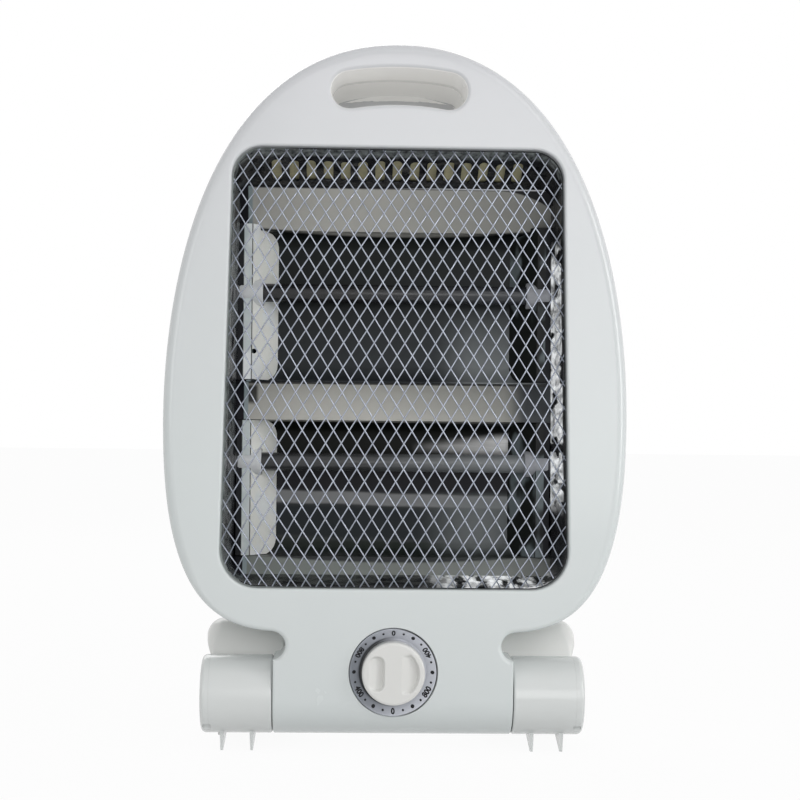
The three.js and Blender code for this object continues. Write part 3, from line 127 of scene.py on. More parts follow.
# The tray behind the window.
TRAY_FRONT = -12.1
TRAY_REAR = 22.0
TRAY_WALL = 0.8
TRAY_TOP = 298.4
TRAY_BOTTOM = 88.8
TRAY_TOP_HALF = 84.0
TRAY_BOTTOM_HALF = 86.0
TRAY_CORNER = 6.0
SHIELD_LIFT = 2.6
SHIELD_HALF = 76.0
SHIELD_THICKNESS = 0.6
VENTS = 15
VENT_PITCH = 9.1
VENT_WIDTH = 5.0
CRUMPLE = 1.5
CRUMPLE_SIZE = 8.0
RIPPLE_SIZE = 3.5
SIDE_WALL = 80.0

# The reflectors and the heating tubes.
TUBE_Y = 30.0
TUBE_HEIGHTS = {"upper": 241.1, "lower": 149.5}
TUBE_HALF = 79.4
TUBE_RADIUS = 5.0
COIL_RADIUS = 2.9
COIL_WIRE = 0.32
COIL_TURNS = 76
COIL_STEPS = 20
CAP_RADIUS = 7.0
CAP_BORE = TUBE_RADIUS + 0.3
CAP_GROOVE = 5.0
TERMINAL_HOLE = 1.3
CAP_INNER = 71.4
CAP_OUTER = 88.0
PLATE_HALF = 84.4
PLATE_FOLD = (77.4, 24.0)
PLATE_DEEP = 64.0
PLATE_HOLE = (76.0, 209.2)
PLATE_GAP = 0.15
BORE_GAP = 0.2
LIP = TRAY_REAR + 0.3
SHEET = 0.8
TROUGH_DEPTH = 20.0
UPPER_LEAN = 7.0
LOWER_LEAN = 3.0
FLANGE = 5.0
REFLECTOR_HALF = 88.0
PANEL_EDGES = (98.6, 172.3, 193.6, 274.9)


def world(point):
    return (point[0] * MM, point[1] * MM + AXIS_Y, point[2] * MM)


# Meshes.


class Surface:
    """Points and faces collected from grids and fills, welded into one mesh at the end."""

    def __init__(self):
        self.points = []
        self.faces = []

    def grid(self, rows, closed=False):
        """Faces between neighbouring rows of points; closed joins each row's ends."""
        start = len(self.points)
        count = len(rows[0])
        for row in rows:
            self.points.extend(row)
        steps = count if closed else count - 1
        for r in range(len(rows) - 1):
            for i in range(steps):
                a = start + r * count + i
                b = start + r * count + (i + 1) % count
                self.faces.append((a, b, b + count, a + count))

    def polygon(self, ring):
        start = len(self.points)
        self.points.extend(ring)
        self.faces.append(tuple(range(start, start + len(ring))))

    def solid(self, rows):
        """A closed skin through rows of points, with its first and last row filled."""
        self.grid(rows, closed=True)
        self.polygon(rows[0])
        self.polygon(rows[-1])

    def triangles(self, points, corners):
        start = len(self.points)
        self.points.extend(points)
        self.faces.extend(tuple(start + i for i in face) for face in corners)

    def mesh(self, name, weld=0.002):
        data = bpy.data.meshes.new(name)
        bm = bmesh.new()
        made = [bm.verts.new(world(p)) for p in self.points]
        for face in self.faces:
            distinct = list(dict.fromkeys(face))
            if len(distinct) > 2:
                bm.faces.new([made[i] for i in distinct])
        bmesh.ops.remove_doubles(bm, verts=bm.verts, dist=weld * MM)
        bmesh.ops.dissolve_degenerate(bm, edges=bm.edges, dist=weld * MM / 2)
        bmesh.ops.recalc_face_normals(bm, faces=bm.faces)
        bm.to_mesh(data)
        bm.free()
        return data


def face_outward(data, way):
    """Turns the whole mesh round if its furthest face along way looks the other way."""
    best = max(data.polygons, key=lambda f: f.center.dot(way))
    if best.normal.dot(way) < 0:
        data.flip_normals()


def face_mostly(data, way):
    """Turns the whole mesh round if most of it looks away from way."""
    if sum(f.normal.dot(way) * f.area for f in data.polygons) < 0:
        data.flip_normals()


def place(data, body, finish, replaced=(), angle=SHARP):
    """A piece from a mesh, with its name: smooth but for sharp edges, on its body, in its finish."""
    piece = bpy.data.objects.new(data.name, data)
    bpy.context.scene.collection.objects.link(piece)
    data.shade_smooth()
    data.set_sharp_from_angle(angle=math.radians(angle))
    data.materials.clear()
    data.materials.append(MATERIALS[finish])
    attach(piece, body)
    if replaced:
        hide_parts(*replaced)
    return piece


def thicken(piece, thickness, offset=-1):
    made = piece.modifiers.new("thickness", "SOLIDIFY")
    made.thickness = thickness * MM
    made.offset = offset
    made.use_rim = True


def sheet(surface, name, way, thickness, body, finish, replaced=()):
    """A piece of sheet from a surface that faces way, with its thickness behind it."""
    data = surface.mesh(name)
    face_outward(data, way)
    piece = place(data, body, finish, replaced)
    thicken(piece, thickness)
    return piece


def even_normals(piece):
    made = piece.modifiers.new("normals", "WEIGHTED_NORMAL")
    made.keep_sharp = True
    made.weight = 50


def cut_out(piece, tools):
    """Cuts closed solids, given as surfaces, out of a piece, and keeps the result as its mesh."""
    cutter = bpy.data.objects.new(piece.name + "_cutter", tools.mesh(piece.name + "_cutter"))
    bpy.context.scene.collection.objects.link(cutter)
    made = piece.modifiers.new("holes", "BOOLEAN")
    made.operation = "DIFFERENCE"
    made.solver = "EXACT"
    made.object = cutter
    bpy.context.view_layer.update()
    shown = piece.evaluated_get(bpy.context.evaluated_depsgraph_get())
    data = bpy.data.meshes.new_from_object(shown)
    piece.modifiers.clear()
    piece.data = data
    bpy.data.objects.remove(cutter)
    data.set_sharp_from_angle(angle=math.radians(SHARP))


def spread(start, end, steps):
    return [start + (end - start) * k / steps for k in range(steps + 1)]


def round_turn(steps):
    """Angles once round a circle, the last one short of the first."""
    return [math.tau * k / steps for k in range(steps)]


def arc(x, z, radius, angles):
    return [(x + radius * math.cos(a), z + radius * math.sin(a)) for a in angles]


def circle(x, z, radius, steps=72):
    return arc(x, z, radius, round_turn(steps))


def stadium(x, low, high, radius, steps=8):
    """An upright slot with round ends: low and high are its ends' centres."""
    half = spread(0, math.pi, steps)
    return arc(x, high, radius, half) + arc(x, low, -radius, half)


def smooth(share):
    share = min(max(share, 0.0), 1.0)
    return share * share * (3 - 2 * share)


def quarter(steps):
    """Angles from the flat face, zero, round to the wall, a right angle."""
    return spread(0, math.pi / 2, steps)


# Outlines in the XZ plane: lists of (x, z, normal x, normal z).


def bezier(p0, p1, p2, p3, t):
    """A cubic curve's point and its outward normal for a curve that runs clockwise."""
    p = [np.array(q, float) for q in (p0, p1, p2, p3)]
    u = 1 - t
    at = u**3 * p[0] + 3 * u * u * t * p[1] + 3 * u * t * t * p[2] + t**3 * p[3]
    along = u * u * (p[1] - p[0]) + 2 * u * t * (p[2] - p[1]) + t * t * (p[3] - p[2])
    along /= np.linalg.norm(along)
    return at[0], at[1], -along[1], along[0]


def egg_side(steps, end=1.0):
    """The right half of the egg from its crown down to a share of its hip curve."""
    shoulder = [
        (0, BODY_TOP),
        (BODY_HALF * CROWN_PULL, BODY_TOP),
        (BODY_HALF, WIDEST + (BODY_TOP - WIDEST) * SHOULDER_PULL),
        (BODY_HALF, WIDEST),
    ]
    hip = [
        (BODY_HALF, WIDEST),
        (BODY_HALF, WIDEST - (WIDEST - UNDERSIDE) * HIP_PULL),
        (UNDERSIDE_HALF + (BODY_HALF - UNDERSIDE_HALF) * BELLY_PULL, UNDERSIDE),
        (UNDERSIDE_HALF, UNDERSIDE),
    ]
    upper = [bezier(*shoulder, t) for t in spread(0, 1, steps)]
    lower = [bezier(*hip, t) for t in spread(0, end, steps)]
    return upper + lower[1:]


def mirrored(side):
    return [(-p[0], p[1], -p[2], *p[3:]) for p in reversed(side)]


def egg_loop(steps):
    """The whole egg, clockwise from the crown, with its flat underside."""
    right = egg_side(steps)
    under = [(x, UNDERSIDE, 0, -1) for x in spread(UNDERSIDE_HALF, -UNDERSIDE_HALF, 12)[1:-1]]
    return right + under + mirrored(right)[:-1]


def inset_ring(loop, inset, y):
    return [(x - nx * inset, y, z - nz * inset) for x, z, nx, nz in loop]


def rounded(corners, steps):
    """A polygon with rounded corners, each (x, z, radius), as a list of (x, z)."""
    points = []
    for i, (x, z, radius) in enumerate(corners):
        here = Vector((x, z))
        back = (Vector(corners[i - 1][:2]) - here).normalized()
        ahead = (Vector(corners[(i + 1) % len(corners)][:2]) - here).normalized()
        half = back.angle(ahead) / 2
        centre = here + (back + ahead).normalized() * radius / math.sin(half)
        start = here + back * radius / math.tan(half) - centre
        end = here + ahead * radius / math.tan(half) - centre
        sweep = start.angle_signed(end)
        for k in range(steps + 1):
            turned = start.copy()
            turned.rotate(Matrix.Rotation(-sweep * k / steps, 2))
            points.append(tuple(centre + turned))
    return points


def trapezoid(top_half, bottom_half, bottom, top, top_round, bottom_round, steps=10):
    return rounded(
        [
            (-bottom_half, bottom, bottom_round),
            (bottom_half, bottom, bottom_round),
            (top_half, top, top_round),
            (-top_half, top, top_round),
        ],
        steps,
    )


def window_outline(grow):
    return trapezoid(
        WINDOW_TOP_HALF + grow,
        WINDOW_BOTTOM_HALF + grow,
        WINDOW_BOTTOM - grow,
        WINDOW_TOP + grow,
        WINDOW_TOP_ROUND + grow,
        WINDOW_BOTTOM_ROUND + grow,
    )


def slot_outline(grow, steps=12):
    """A slot bent to an arch, with round ends."""
    half = SLOT_HALF_HEIGHT + grow
    end = math.asin((SLOT_HALF_LENGTH - SLOT_HALF_HEIGHT) / SLOT_ARCH)
    low = SLOT_HEIGHT - SLOT_ARCH
    x, z = SLOT_ARCH * math.sin(end), low + SLOT_ARCH * math.cos(end)
    right, left = math.pi / 2 - end, math.pi / 2 + end
    over = arc(0, low, SLOT_ARCH + half, spread(left, right, steps))
    over += arc(x, z, half, spread(right, right - math.pi, steps)[1:-1])
    under = arc(0, low, SLOT_ARCH - half, spread(right, left, steps))
    under += arc(-x, z, half, spread(left - math.pi, left - math.tau, steps)[1:-1])
    return over + under


def inside(points, loop):
    """Which of the points lie inside a closed loop."""
    p = np.array(points)
    a = np.array(loop)
    b = np.roll(a, -1, axis=0)
    x, z = p[:, 0:1], p[:, 1:2]
    crosses = (a[:, 1] > z) != (b[:, 1] > z)
    with np.errstate(divide="ignore", invalid="ignore"):
        at = a[:, 0] + (z - a[:, 1]) * (b[:, 0] - a[:, 0]) / (b[:, 1] - a[:, 1])
    return (np.sum(crosses & (x < at), axis=1) % 2).astype(bool)


def filled(outer, holes, lines=()):
    """Triangles between an outer loop and its holes, with edges along the given lines."""
    coords = []
    edges = []
    for loop in [outer, *holes]:
        start = len(coords)
        coords.extend(loop)
        edges.extend((start + i, start + (i + 1) % len(loop)) for i in range(len(loop)))
    for line in lines:
        start = len(coords)
        coords.extend(line)
        edges.extend((start + i, start + i + 1) for i in range(len(line) - 1))
    made = delaunay_2d_cdt([Vector(c) for c in coords], edges, [], 0, 1e-4)
    points = [tuple(v) for v in made[0]]
    middles = [tuple(np.mean([points[i] for i in tri], axis=0)) for tri in made[2]]
    keep = inside(middles, outer)
    for hole in holes:
        keep &= ~inside(middles, hole)
    return points, [tri for tri, kept in zip(made[2], keep) if kept]


# The skin of the base bends round its axis: s is the height above the axis and an arc below it.


def skin_point(x, s, depth, side):
    if s >= AXIS:
        return (x, side * (BASE_RADIUS - depth), s)
    turn = (AXIS - s) / BASE_RADIUS
    radius = BASE_RADIUS - depth
    return (x, side * radius * math.cos(turn), AXIS - radius * math.sin(turn))


def skin_height(z):
    """The skin's s for a height, and how far its surface stands behind the front plane."""
    if z >= AXIS:
        return z, 0.0
    turn = math.asin((AXIS - z) / BASE_RADIUS)
    return AXIS - BASE_RADIUS * turn, BASE_RADIUS * (1 - math.cos(turn))


NOTCH_RADIUS = (UNDERSIDE - AXIS - BASE_RADIUS) / 2
NOTCH_X = 63.0
NOTCH_ROUND = 2.5
BASE_ROUND = 1.0
NOTCH_START = 0.971
NOTCH_SWEEP = math.radians(262)
HIP_HEIGHT = 66.0
HIP_RISE = 40.0
BASE_FLAT = 17.0
LOOP_CLEAR = 0.5


def notch_side(wall):
    """The neck's notch and the corner of the base: (x, s, normal, normal, round, wall)."""
    centre = UNDERSIDE - NOTCH_RADIUS
    made = []
    for turn in spread(math.pi / 2, NOTCH_SWEEP, 16):
        cos, sin = math.cos(turn), math.sin(turn)
        at = (NOTCH_X + NOTCH_RADIUS * cos, centre + NOTCH_RADIUS * sin)
        made.append((*at, -cos, -sin, NOTCH_ROUND, wall))
    made[-1] = (BASE_HALF, made[-1][1], 1, 1, BASE_ROUND, wall)
    return made


def base_side(rows, wall, end_wall):
    """The end of the base: its flat part, then the part that bends round the axis."""
    flat = [(BASE_HALF, s, 1, 0, BASE_ROUND, wall) for s in spread(AXIS + BASE_FLAT, AXIS, 5)]
    bent = [(BASE_HALF, s, 1, 0, BASE_ROUND, end_wall) for s in rows]
    return flat + bent


def rounds(side, steps, face):
    """Rows from the flat face round an edge and along its wall to the wall's end."""
    rows = []
    for angle in quarter(steps):
        row = []
        for x, s, nx, ns, radius, _ in side:
            inset = radius * (1 - math.sin(angle))
            depth = radius * (1 - math.cos(angle))
            row.append(skin_point(x - nx * inset, s - ns * inset, depth, face))
        rows.append(row)
    for inset, short in ((0, SEAM_BEVEL_DEPTH), (SEAM_BEVEL, 0)):
        row = []
        for x, s, nx, ns, _, wall in side:
            row.append(skin_point(x - inset * nx, s - inset * ns, wall - short, face))
        rows.append(row)
    return rows


def hole_edge(surface, outline, radius, depth, end):
    """A rounded edge and a straight wall round an opening in the flat front face."""
    rows = []
    for angle in quarter(5):
        y = -BASE_RADIUS + radius * (1 - math.cos(angle))
        rows.append([(x, y, z) for x, z in outline(radius * (1 - math.sin(angle)))])
    for y in spread(-BASE_RADIUS + radius, end, depth)[1:]:
        rows.append([(x, y, z) for x, z in outline(0)])
    surface.grid(rows, closed=True)
    return outline(radius)


def dial_rims():
    """The edge of the dial's recess and a loop just round it, as (x, s) on the bent skin."""
    edges = (SEAT_RADIUS + 0.1, SEAT_RADIUS + 0.35)
    return [[(x, skin_height(z)[0]) for x, z in circle(0, DIAL_HEIGHT, r)] for r in edges]


def dial_seat():
    """The thin wall and floor of the recess that the dial sits in, a piece of its own."""
    surface = Surface()
    floor = DIAL_BACK + 0.3
    ring = circle(0, DIAL_HEIGHT, SEAT_RADIUS)
    rows = [[(x, skin_height(z)[1] - BASE_RADIUS + SEAT_SUNK, z) for x, z in ring]]
    for radius, y in [(SEAT_RADIUS, floor), (SHAFT_HOLE, floor), (SHAFT_HOLE, floor + 1.6)]:
        rows.append([(x, y, z) for x, z in circle(0, DIAL_HEIGHT, radius)])
    surface.grid(rows, closed=True)
    data = surface.mesh("dial_seat")
    face_mostly(data, FRONT)
    thicken(place(data, "root", "shell"), SEAT_THICKNESS)


def bend_lines(rows, reach, loop=()):
    """Edges across the bent skin, each broken where it would cross a loop."""
    lines = []
    lowest = min((s for _, s in loop), default=math.inf)
    for s in rows:
        if abs(s - lowest) < LOOP_CLEAR / 2:
            continue
        half = 0.0
        for i, (x1, s1) in enumerate(loop):
            x0, s0 = loop[i - 1]
            if (s0 - s) * (s1 - s) <= 0:
                half = max(half, abs(x0), abs(x1))
        if half:
            half += LOOP_CLEAR
            lines.append([(x, s) for x in spread(-reach, -half, 12)])
            lines.append([(x, s) for x in spread(half, reach, 12)])
        else:
            lines.append([(x, s) for x in spread(-reach, reach, 24)])
    return lines


def front_skin():
    surface = Surface()
    seam_front = SEAM - SEAM_HALF_GAP
    wall = BASE_RADIUS + seam_front
    turn = math.pi - math.acos(seam_front / BASE_RADIUS)
    rows = spread(AXIS, AXIS - BASE_RADIUS * turn, 36)
    side = []
    for x, z, nx, nz in egg_side(56, NOTCH_START):
        grown = (EDGE_ROUND - NOTCH_ROUND) * smooth((z - HIP_HEIGHT) / HIP_RISE)
        side.append((x, z, nx, nz, NOTCH_ROUND + grown, wall))
    side += notch_side(wall)[1:]
    side += base_side(rows, wall, BASE_RADIUS - STUB_RADIUS)
    whole = side + mirrored(side)
    surface.grid(rounds(side, 8, -1))
    surface.grid(rounds(mirrored(side), 8, -1))
    outer = [(x - nx * r, s - ns * r) for x, s, nx, ns, r, _ in whole]
    outer = [p for i, p in enumerate(outer) if math.dist(p, outer[i - 1]) > 1e-3]
    window = hole_edge(surface, window_outline, WINDOW_EDGE, 2, LIP_END)
    slot = hole_edge(surface, slot_outline, SLOT_EDGE, 6, seam_front)
    dial, around = dial_rims()
    reach = BASE_HALF - BASE_ROUND
    lines = bend_lines(rows, reach, around)
    lines.append(around + around[:1])
    points, faces = filled(outer, [window, slot, dial], lines)
    surface.triangles([skin_point(x, s, 0, -1) for x, s in points], faces)
    return surface


def add_stub(surface, side):
    """A stub axle that carries a foot, as a turned skin with a closed end."""
    profile = [
        (STUB_RADIUS, BASE_HALF - 3),
        (STUB_RADIUS, STUB_END - STUB_CHAMFER),
        (STUB_RADIUS - STUB_CHAMFER, STUB_END),
        (STUB_HOLE, STUB_END),
        (STUB_HOLE, STUB_END - STUB_HOLE_DEPTH),
    ]
    turned_x(surface, [(r, side * x) for r, x in profile], 0, AXIS, 48)


def turned_x(surface, profile, y, z, segments):
    """A surface of revolution about a line along X; each profile point is (radius, x)."""
    rings = [[(x, *p) for p in circle(y, z, radius, segments)] for radius, x in profile]
    surface.grid(rings, closed=True)


def turned_y(surface, profile, x, z, segments):
    """A surface of revolution about a line along Y; each profile point is (radius, y)."""
    rings = [[(u, y, v) for u, v in circle(x, z, radius, segments)] for radius, y in profile]
    surface.grid(rings, closed=True)


def drilled(radius, start, end):
    """The profile of a closed drill along its axis."""
    return [(DRILL_POINT, start), (radius, start), (radius, end), (DRILL_POINT, end)]


def rounded_profile(corners, steps=4):
    """A closed profile with rounded corners, each (radius, along, round)."""
    points = rounded(corners, steps)
    return [*points, points[0]]


# Node materials.


class Look:
    """A node material with a Principled shader and short helpers for its detail."""

    def __init__(self, name, colour, roughness, metallic=0.0):
        self.material = bpy.data.materials.new(name)
        self.material.use_nodes = True
        self.tree = self.material.node_tree
        self.shader = self.tree.nodes["Principled BSDF"]
        self.set(Base_Color=(*colour, 1), Roughness=roughness, Metallic=metallic)
        self.coordinates = self.tree.nodes.new("ShaderNodeTexCoord")

    def node(self, kind, **sockets):
        made = self.tree.nodes.new(kind)
        for key, value in sockets.items():
            made.inputs[key.replace("_", " ")].default_value = value
        return made

    def link(self, output, target):
        self.tree.links.new(output, target)

    def stretched(self, scale):
        made = self.node("ShaderNodeMapping", Scale=scale)
        self.link(self.coordinates.outputs["Object"], made.inputs["Vector"])
        return made.outputs["Vector"]

    def noise(self, size, detail=3.0, scale=(1, 1, 1)):
        """Noise whose features are about size millimetres across."""
        made = self.node("ShaderNodeTexNoise", Scale=1 / (size * MM), Detail=detail)
        self.link(self.stretched(scale), made.inputs["Vector"])
        return made.outputs["Fac"]

    def ranged(self, value, low, high, start=0.3, end=0.7):
        limits = {"From_Min": start, "From_Max": end, "To_Min": low, "To_Max": high}
        made = self.node("ShaderNodeMapRange", **limits)
        self.link(value, made.inputs["Value"])
        return made.outputs["Result"]

    def mixed(self, share, first, second):
        made = self.tree.nodes.new("ShaderNodeMix")
        made.data_type = "RGBA"
        for socket, colour in ((made.inputs[6], first), (made.inputs[7], second)):
            if isinstance(colour, tuple):
                socket.default_value = (*colour, 1)
            else:
                self.link(colour, socket)
        self.link(share, made.inputs[0])
        return made.outputs[2]

    def colour(self, value):
        self.link(value, self.shader.inputs["Base Color"])

    def rough(self, value):
        self.link(value, self.shader.inputs["Roughness"])

    def glow(self, value):
        self.link(value, self.shader.inputs["Emission Color"])

    def bump(self, *heights):
        """A bump from heights, each given with its depth in millimetres."""
        last = None
        for height, depth in heights:
            made = self.node("ShaderNodeBump", Strength=1.0, Distance=depth * MM)
            self.link(height, made.inputs["Height"])
            if last is not None:
                self.link(last, made.inputs["Normal"])
            last = made.outputs["Normal"]
        self.link(last, self.shader.inputs["Normal"])

    def math(self, operation, *values):
        """One step of arithmetic between outputs and numbers."""
        made = self.tree.nodes.new("ShaderNodeMath")
        made.operation = operation
        for socket, value in zip(made.inputs, values):
            if isinstance(value, (int, float)):
                socket.default_value = value
            else:
                self.link(value, socket)
        return made.outputs[0]

    def plus(self, first, second):
        return self.math("ADD", first, second)

    def minus(self, first, second):
        return self.math("SUBTRACT", first, second)

    def times(self, first, second):
        return self.math("MULTIPLY", first, second)

    def squared(self, value):
        return self.math("POWER", value, 2)

    def along(self, axis):
        """A coordinate in the part's own frame, in millimetres."""
        split = self.tree.nodes.new("ShaderNodeSeparateXYZ")
        self.link(self.coordinates.outputs["Object"], split.inputs["Vector"])
        start = AXIS_Y if axis == "Y" else 0
        return self.math("DIVIDE", self.minus(split.outputs[axis], start), MM)

    def past(self, value, at, soft):
        """Zero below a value and one above it, with a soft edge."""
        made = self.ranged(value, 0, 1, at - soft, at + soft)
        made.node.interpolation_type = "SMOOTHSTEP"
        return made

    def within(self, value, low, high, soft):
        """One between two values, with soft edges."""
        return self.minus(self.past(value, low, soft), self.past(value, high, soft))

    def both(self, *shares):
        total = shares[0]
        for share in shares[1:]:
            total = self.times(total, share)
        return total

    def set(self, **sockets):
        """Plain numbers or colours on the shader, each named with _ for a space."""
        for key, value in sockets.items():
            self.shader.inputs[key.replace("_", " ")].default_value = value


# The handle's grip, painted paler and given a painted glow in place of the light that its thin wall
# lets through.
PAINTED_PALE_GRIP = (0.88, 0.875, 0.86)
PAINTED_GLOW_COLOUR = (1.0, 0.995, 0.985)
PAINTED_GLOW_STRENGTH = 0.075
BLACK = (0.0, 0.0, 0.0)
CROWN_TONE = (0.6, 0.6, 0.625)
CROWN_TONE_FROM_TO = (150, 350)


def moulded(name, colour, shade, roughness, grain=0.006):
    """Glossy moulded plastic: flow clouds, orange peel, and in the grip a paler painted colour and a
    painted glow in place of light let through.
    """
    look = Look(name, colour, roughness)
    clouds = look.ranged(look.noise(60, 3), 0, 1, 0, 1)
    across = look.math("ABSOLUTE", look.along("X"))
    painted_glow_hollow = look.both(
        look.ranged(across, 1, 0, SLOT_HALF_LENGTH + 0.4, SLOT_HALF_LENGTH + 0.8),
        look.within(look.along("Z"), SLOT_HEIGHT - 15, SLOT_HEIGHT + 10.5, 0.5),
        look.within(look.along("Y"), 1 - BASE_RADIUS, SEAM + 0.3, 0.5),
    )
    shade = look.mixed(clouds, colour, shade)
    # The shell's tone grows darker and bluer towards its top.
    crown = look.times(look.ranged(look.along("Z"), 0, 1, *CROWN_TONE_FROM_TO), 0.8)
    shade = look.mixed(crown, shade, CROWN_TONE)
    # In the grip's pocket the colour is painted paler and a painted glow is added, as painted light.
    look.colour(look.mixed(painted_glow_hollow, shade, PAINTED_PALE_GRIP))
    look.glow(look.mixed(painted_glow_hollow, BLACK, PAINTED_GLOW_COLOUR))
    look.rough(look.ranged(look.noise(30, 4), roughness - 0.03, roughness + 0.03, 0, 1))
    look.bump((look.noise(30, 1), grain * 10), (look.noise(0.9, 2), grain))
    look.set(IOR=1.5, Coat_Weight=0.3, Coat_Roughness=0.08, Emission_Strength=PAINTED_GLOW_STRENGTH)
    return look.material


def grip_plastic_painted_glow():
    """The grip's pocket behind the seam, painted paler and given a painted glow in place of the light
    that its thin wall lets through.
    """
    look = Look("grip_plastic_painted_glow", PAINTED_PALE_GRIP, 0.35)
    look.colour(look.mixed(look.ranged(look.noise(30, 3), 0, 1, 0, 1), PAINTED_PALE_GRIP, (0.84, 0.84, 0.82)))
    look.bump((look.noise(0.9, 2), 0.006))
    # A painted glow over the whole pocket, as painted light.
    look.set(Emission_Color=(*PAINTED_GLOW_COLOUR, 1), Emission_Strength=PAINTED_GLOW_STRENGTH)
    return look.material


def plated(name, colour, shade, roughness, size=5.0):
    """Plated or polished metal with fine streaks and cloudy tarnish."""
    look = Look(name, colour, roughness, 1.0)
    look.colour(look.mixed(look.ranged(look.noise(size, 5), 0, 1), colour, shade))
    look.rough(look.ranged(look.noise(size / 2, 5), roughness - 0.06, roughness + 0.12))
    look.bump((look.noise(0.6, 3), 0.02))
    return look.material


# Where the tray's sheet is painted pale along its depth, as light near the window, and where it is
# crumpled foil given painted glare and a painted glow.
PAINTED_LIGHT_FROM = 299.0
PAINTED_LIGHT_DEPTH = (-20.0, -8.0)
GLARE_HEIGHTS = (128.0, 264.0)
GLARE_SPAN = (26.0, 80.0)
GLARE_LOW = (91.0, 94.0)
PAINTED_GLINT_GLOW = 0.55


def tray_metal():
    """Thin crumpled sheet with painted light and shade: painted dark for the shade in its depth, pale
    near the window, and with painted glare and a painted glow on its crumples where it catches the
    light.
    """
    # The sheet is painted dark, as the shade in its depth.
    look = Look("tray_sheet", (0.02, 0.021, 0.022), 0.2, 0.0)
    x, y, z = look.along("X"), look.along("Y"), look.along("Z")
    fine = look.noise(3, 4, (1, 1, 0.6))
    shade = look.mixed(look.ranged(fine, 0, 1), (0.006, 0.006, 0.008), (0.03, 0.032, 0.036))
    # Painted light: pale strips at the front of the top and left walls, near the window.
    upper = look.both(look.past(z, PAINTED_LIGHT_FROM, 1), look.past(look.times(y, -1), 7, 2))
    left = look.past(look.times(x, -1), SIDE_WALL, 1)
    left = look.both(left, look.within(y, *PAINTED_LIGHT_DEPTH, 1.5))
    pale = look.both(look.math("MAXIMUM", upper, left), look.ranged(fine, 0.1, 1))
    shade = look.mixed(pale, shade, (0.3, 0.33, 0.33))
    # Painted glare on crumples of the right wall and of the bottom's right end.
    right = look.both(look.past(x, SIDE_WALL, 1), look.within(z, *GLARE_HEIGHTS, 6))
    right = look.both(right, look.past(y, -10, 1.5))
    corner = look.both(look.ranged(z, 1, 0, *GLARE_LOW), look.within(x, *GLARE_SPAN, 14))
    painted_glare = look.math("MAXIMUM", right, corner)
    glare_patches = look.past(look.noise(6, 3, (0.8, 0.2, 0.7)), 0.46, 0.05)
    painted_foil_glare = look.both(painted_glare, glare_patches)
    look.colour(look.mixed(painted_foil_glare, shade, (0.98, 0.99, 1.0)))
    # A painted glow on the brightest of the glare.
    painted_glints = look.both(painted_foil_glare, look.ranged(look.noise(3, 3, (0.8, 0.3, 0.7)), 0, 1, 0.4, 0.6))
    look.glow(look.mixed(painted_glints, BLACK, (0.95, 0.98, 1.0)))
    folds = look.times(look.noise(4, 2, (0.8, 0.4, 0.7)), painted_glare)
    look.rough(look.ranged(fine, 0.16, 0.3, 0, 1))
    look.set(Specular_IOR_Level=0.22, Emission_Strength=PAINTED_GLINT_GLOW)
    look.bump((look.noise(5, 3, (0.8, 0.6, 0.7)), 0.9), (fine, 0.25), (folds, 6))
    return look.material


BOW_HALF = 70.0
UPPER_PANEL = (273.4, 297.2)
UPPER_BOW = 2.6
UPPER_TROUGH_SHADE = (196.0, 262.0)
LOWER_TILT = 0.022
LOWER_BOW = -3.0
LOWER_EDGE = 95.6
LOWER_PANEL = (171.6, 191.6)
FLASH_HEIGHTS = (155.5, 158.0)
FLASH_TILT = 0.13
FLASH_SPAN = (10.0, 68.0)
PANEL_TONES = ((0.46, 0.455, 0.425), (0.28, 0.28, 0.26))


def panel_tone(look, x):
    """Warm grey sheet with painted shade that grows darker to the right, and faint rolling streaks.
    """
    streaks = look.ranged(look.noise(9, 4, (0.12, 1, 1)), -0.12, 0.12, 0, 1)
    share = look.plus(look.ranged(x, 0, 1, -10, 80), streaks)
    return look.mixed(share, *PANEL_TONES)


def sheet_finish(look, shade):
    look.colour(shade)
    look.rough(look.ranged(look.noise(6, 3, (0.05, 1, 1)), 0.26, 0.36, 0, 1))
    look.bump((look.noise(40, 1), 0.5), (look.noise(0.8, 2, (0.02, 1, 1)), 0.003))
    look.set(Specular_IOR_Level=0.1)
    return look.material


def left_margin(look, x, start, shade):
    """A bluish strip where the sheet's left end turns, and shade beyond it."""
    out = look.times(x, -1)
    shade = look.mixed(look.past(out, start, 0.4), shade, (0.3, 0.36, 0.38))
    return look.mixed(look.past(out, start + 2.3, 0.3), shade, (0.01, 0.01, 0.014))


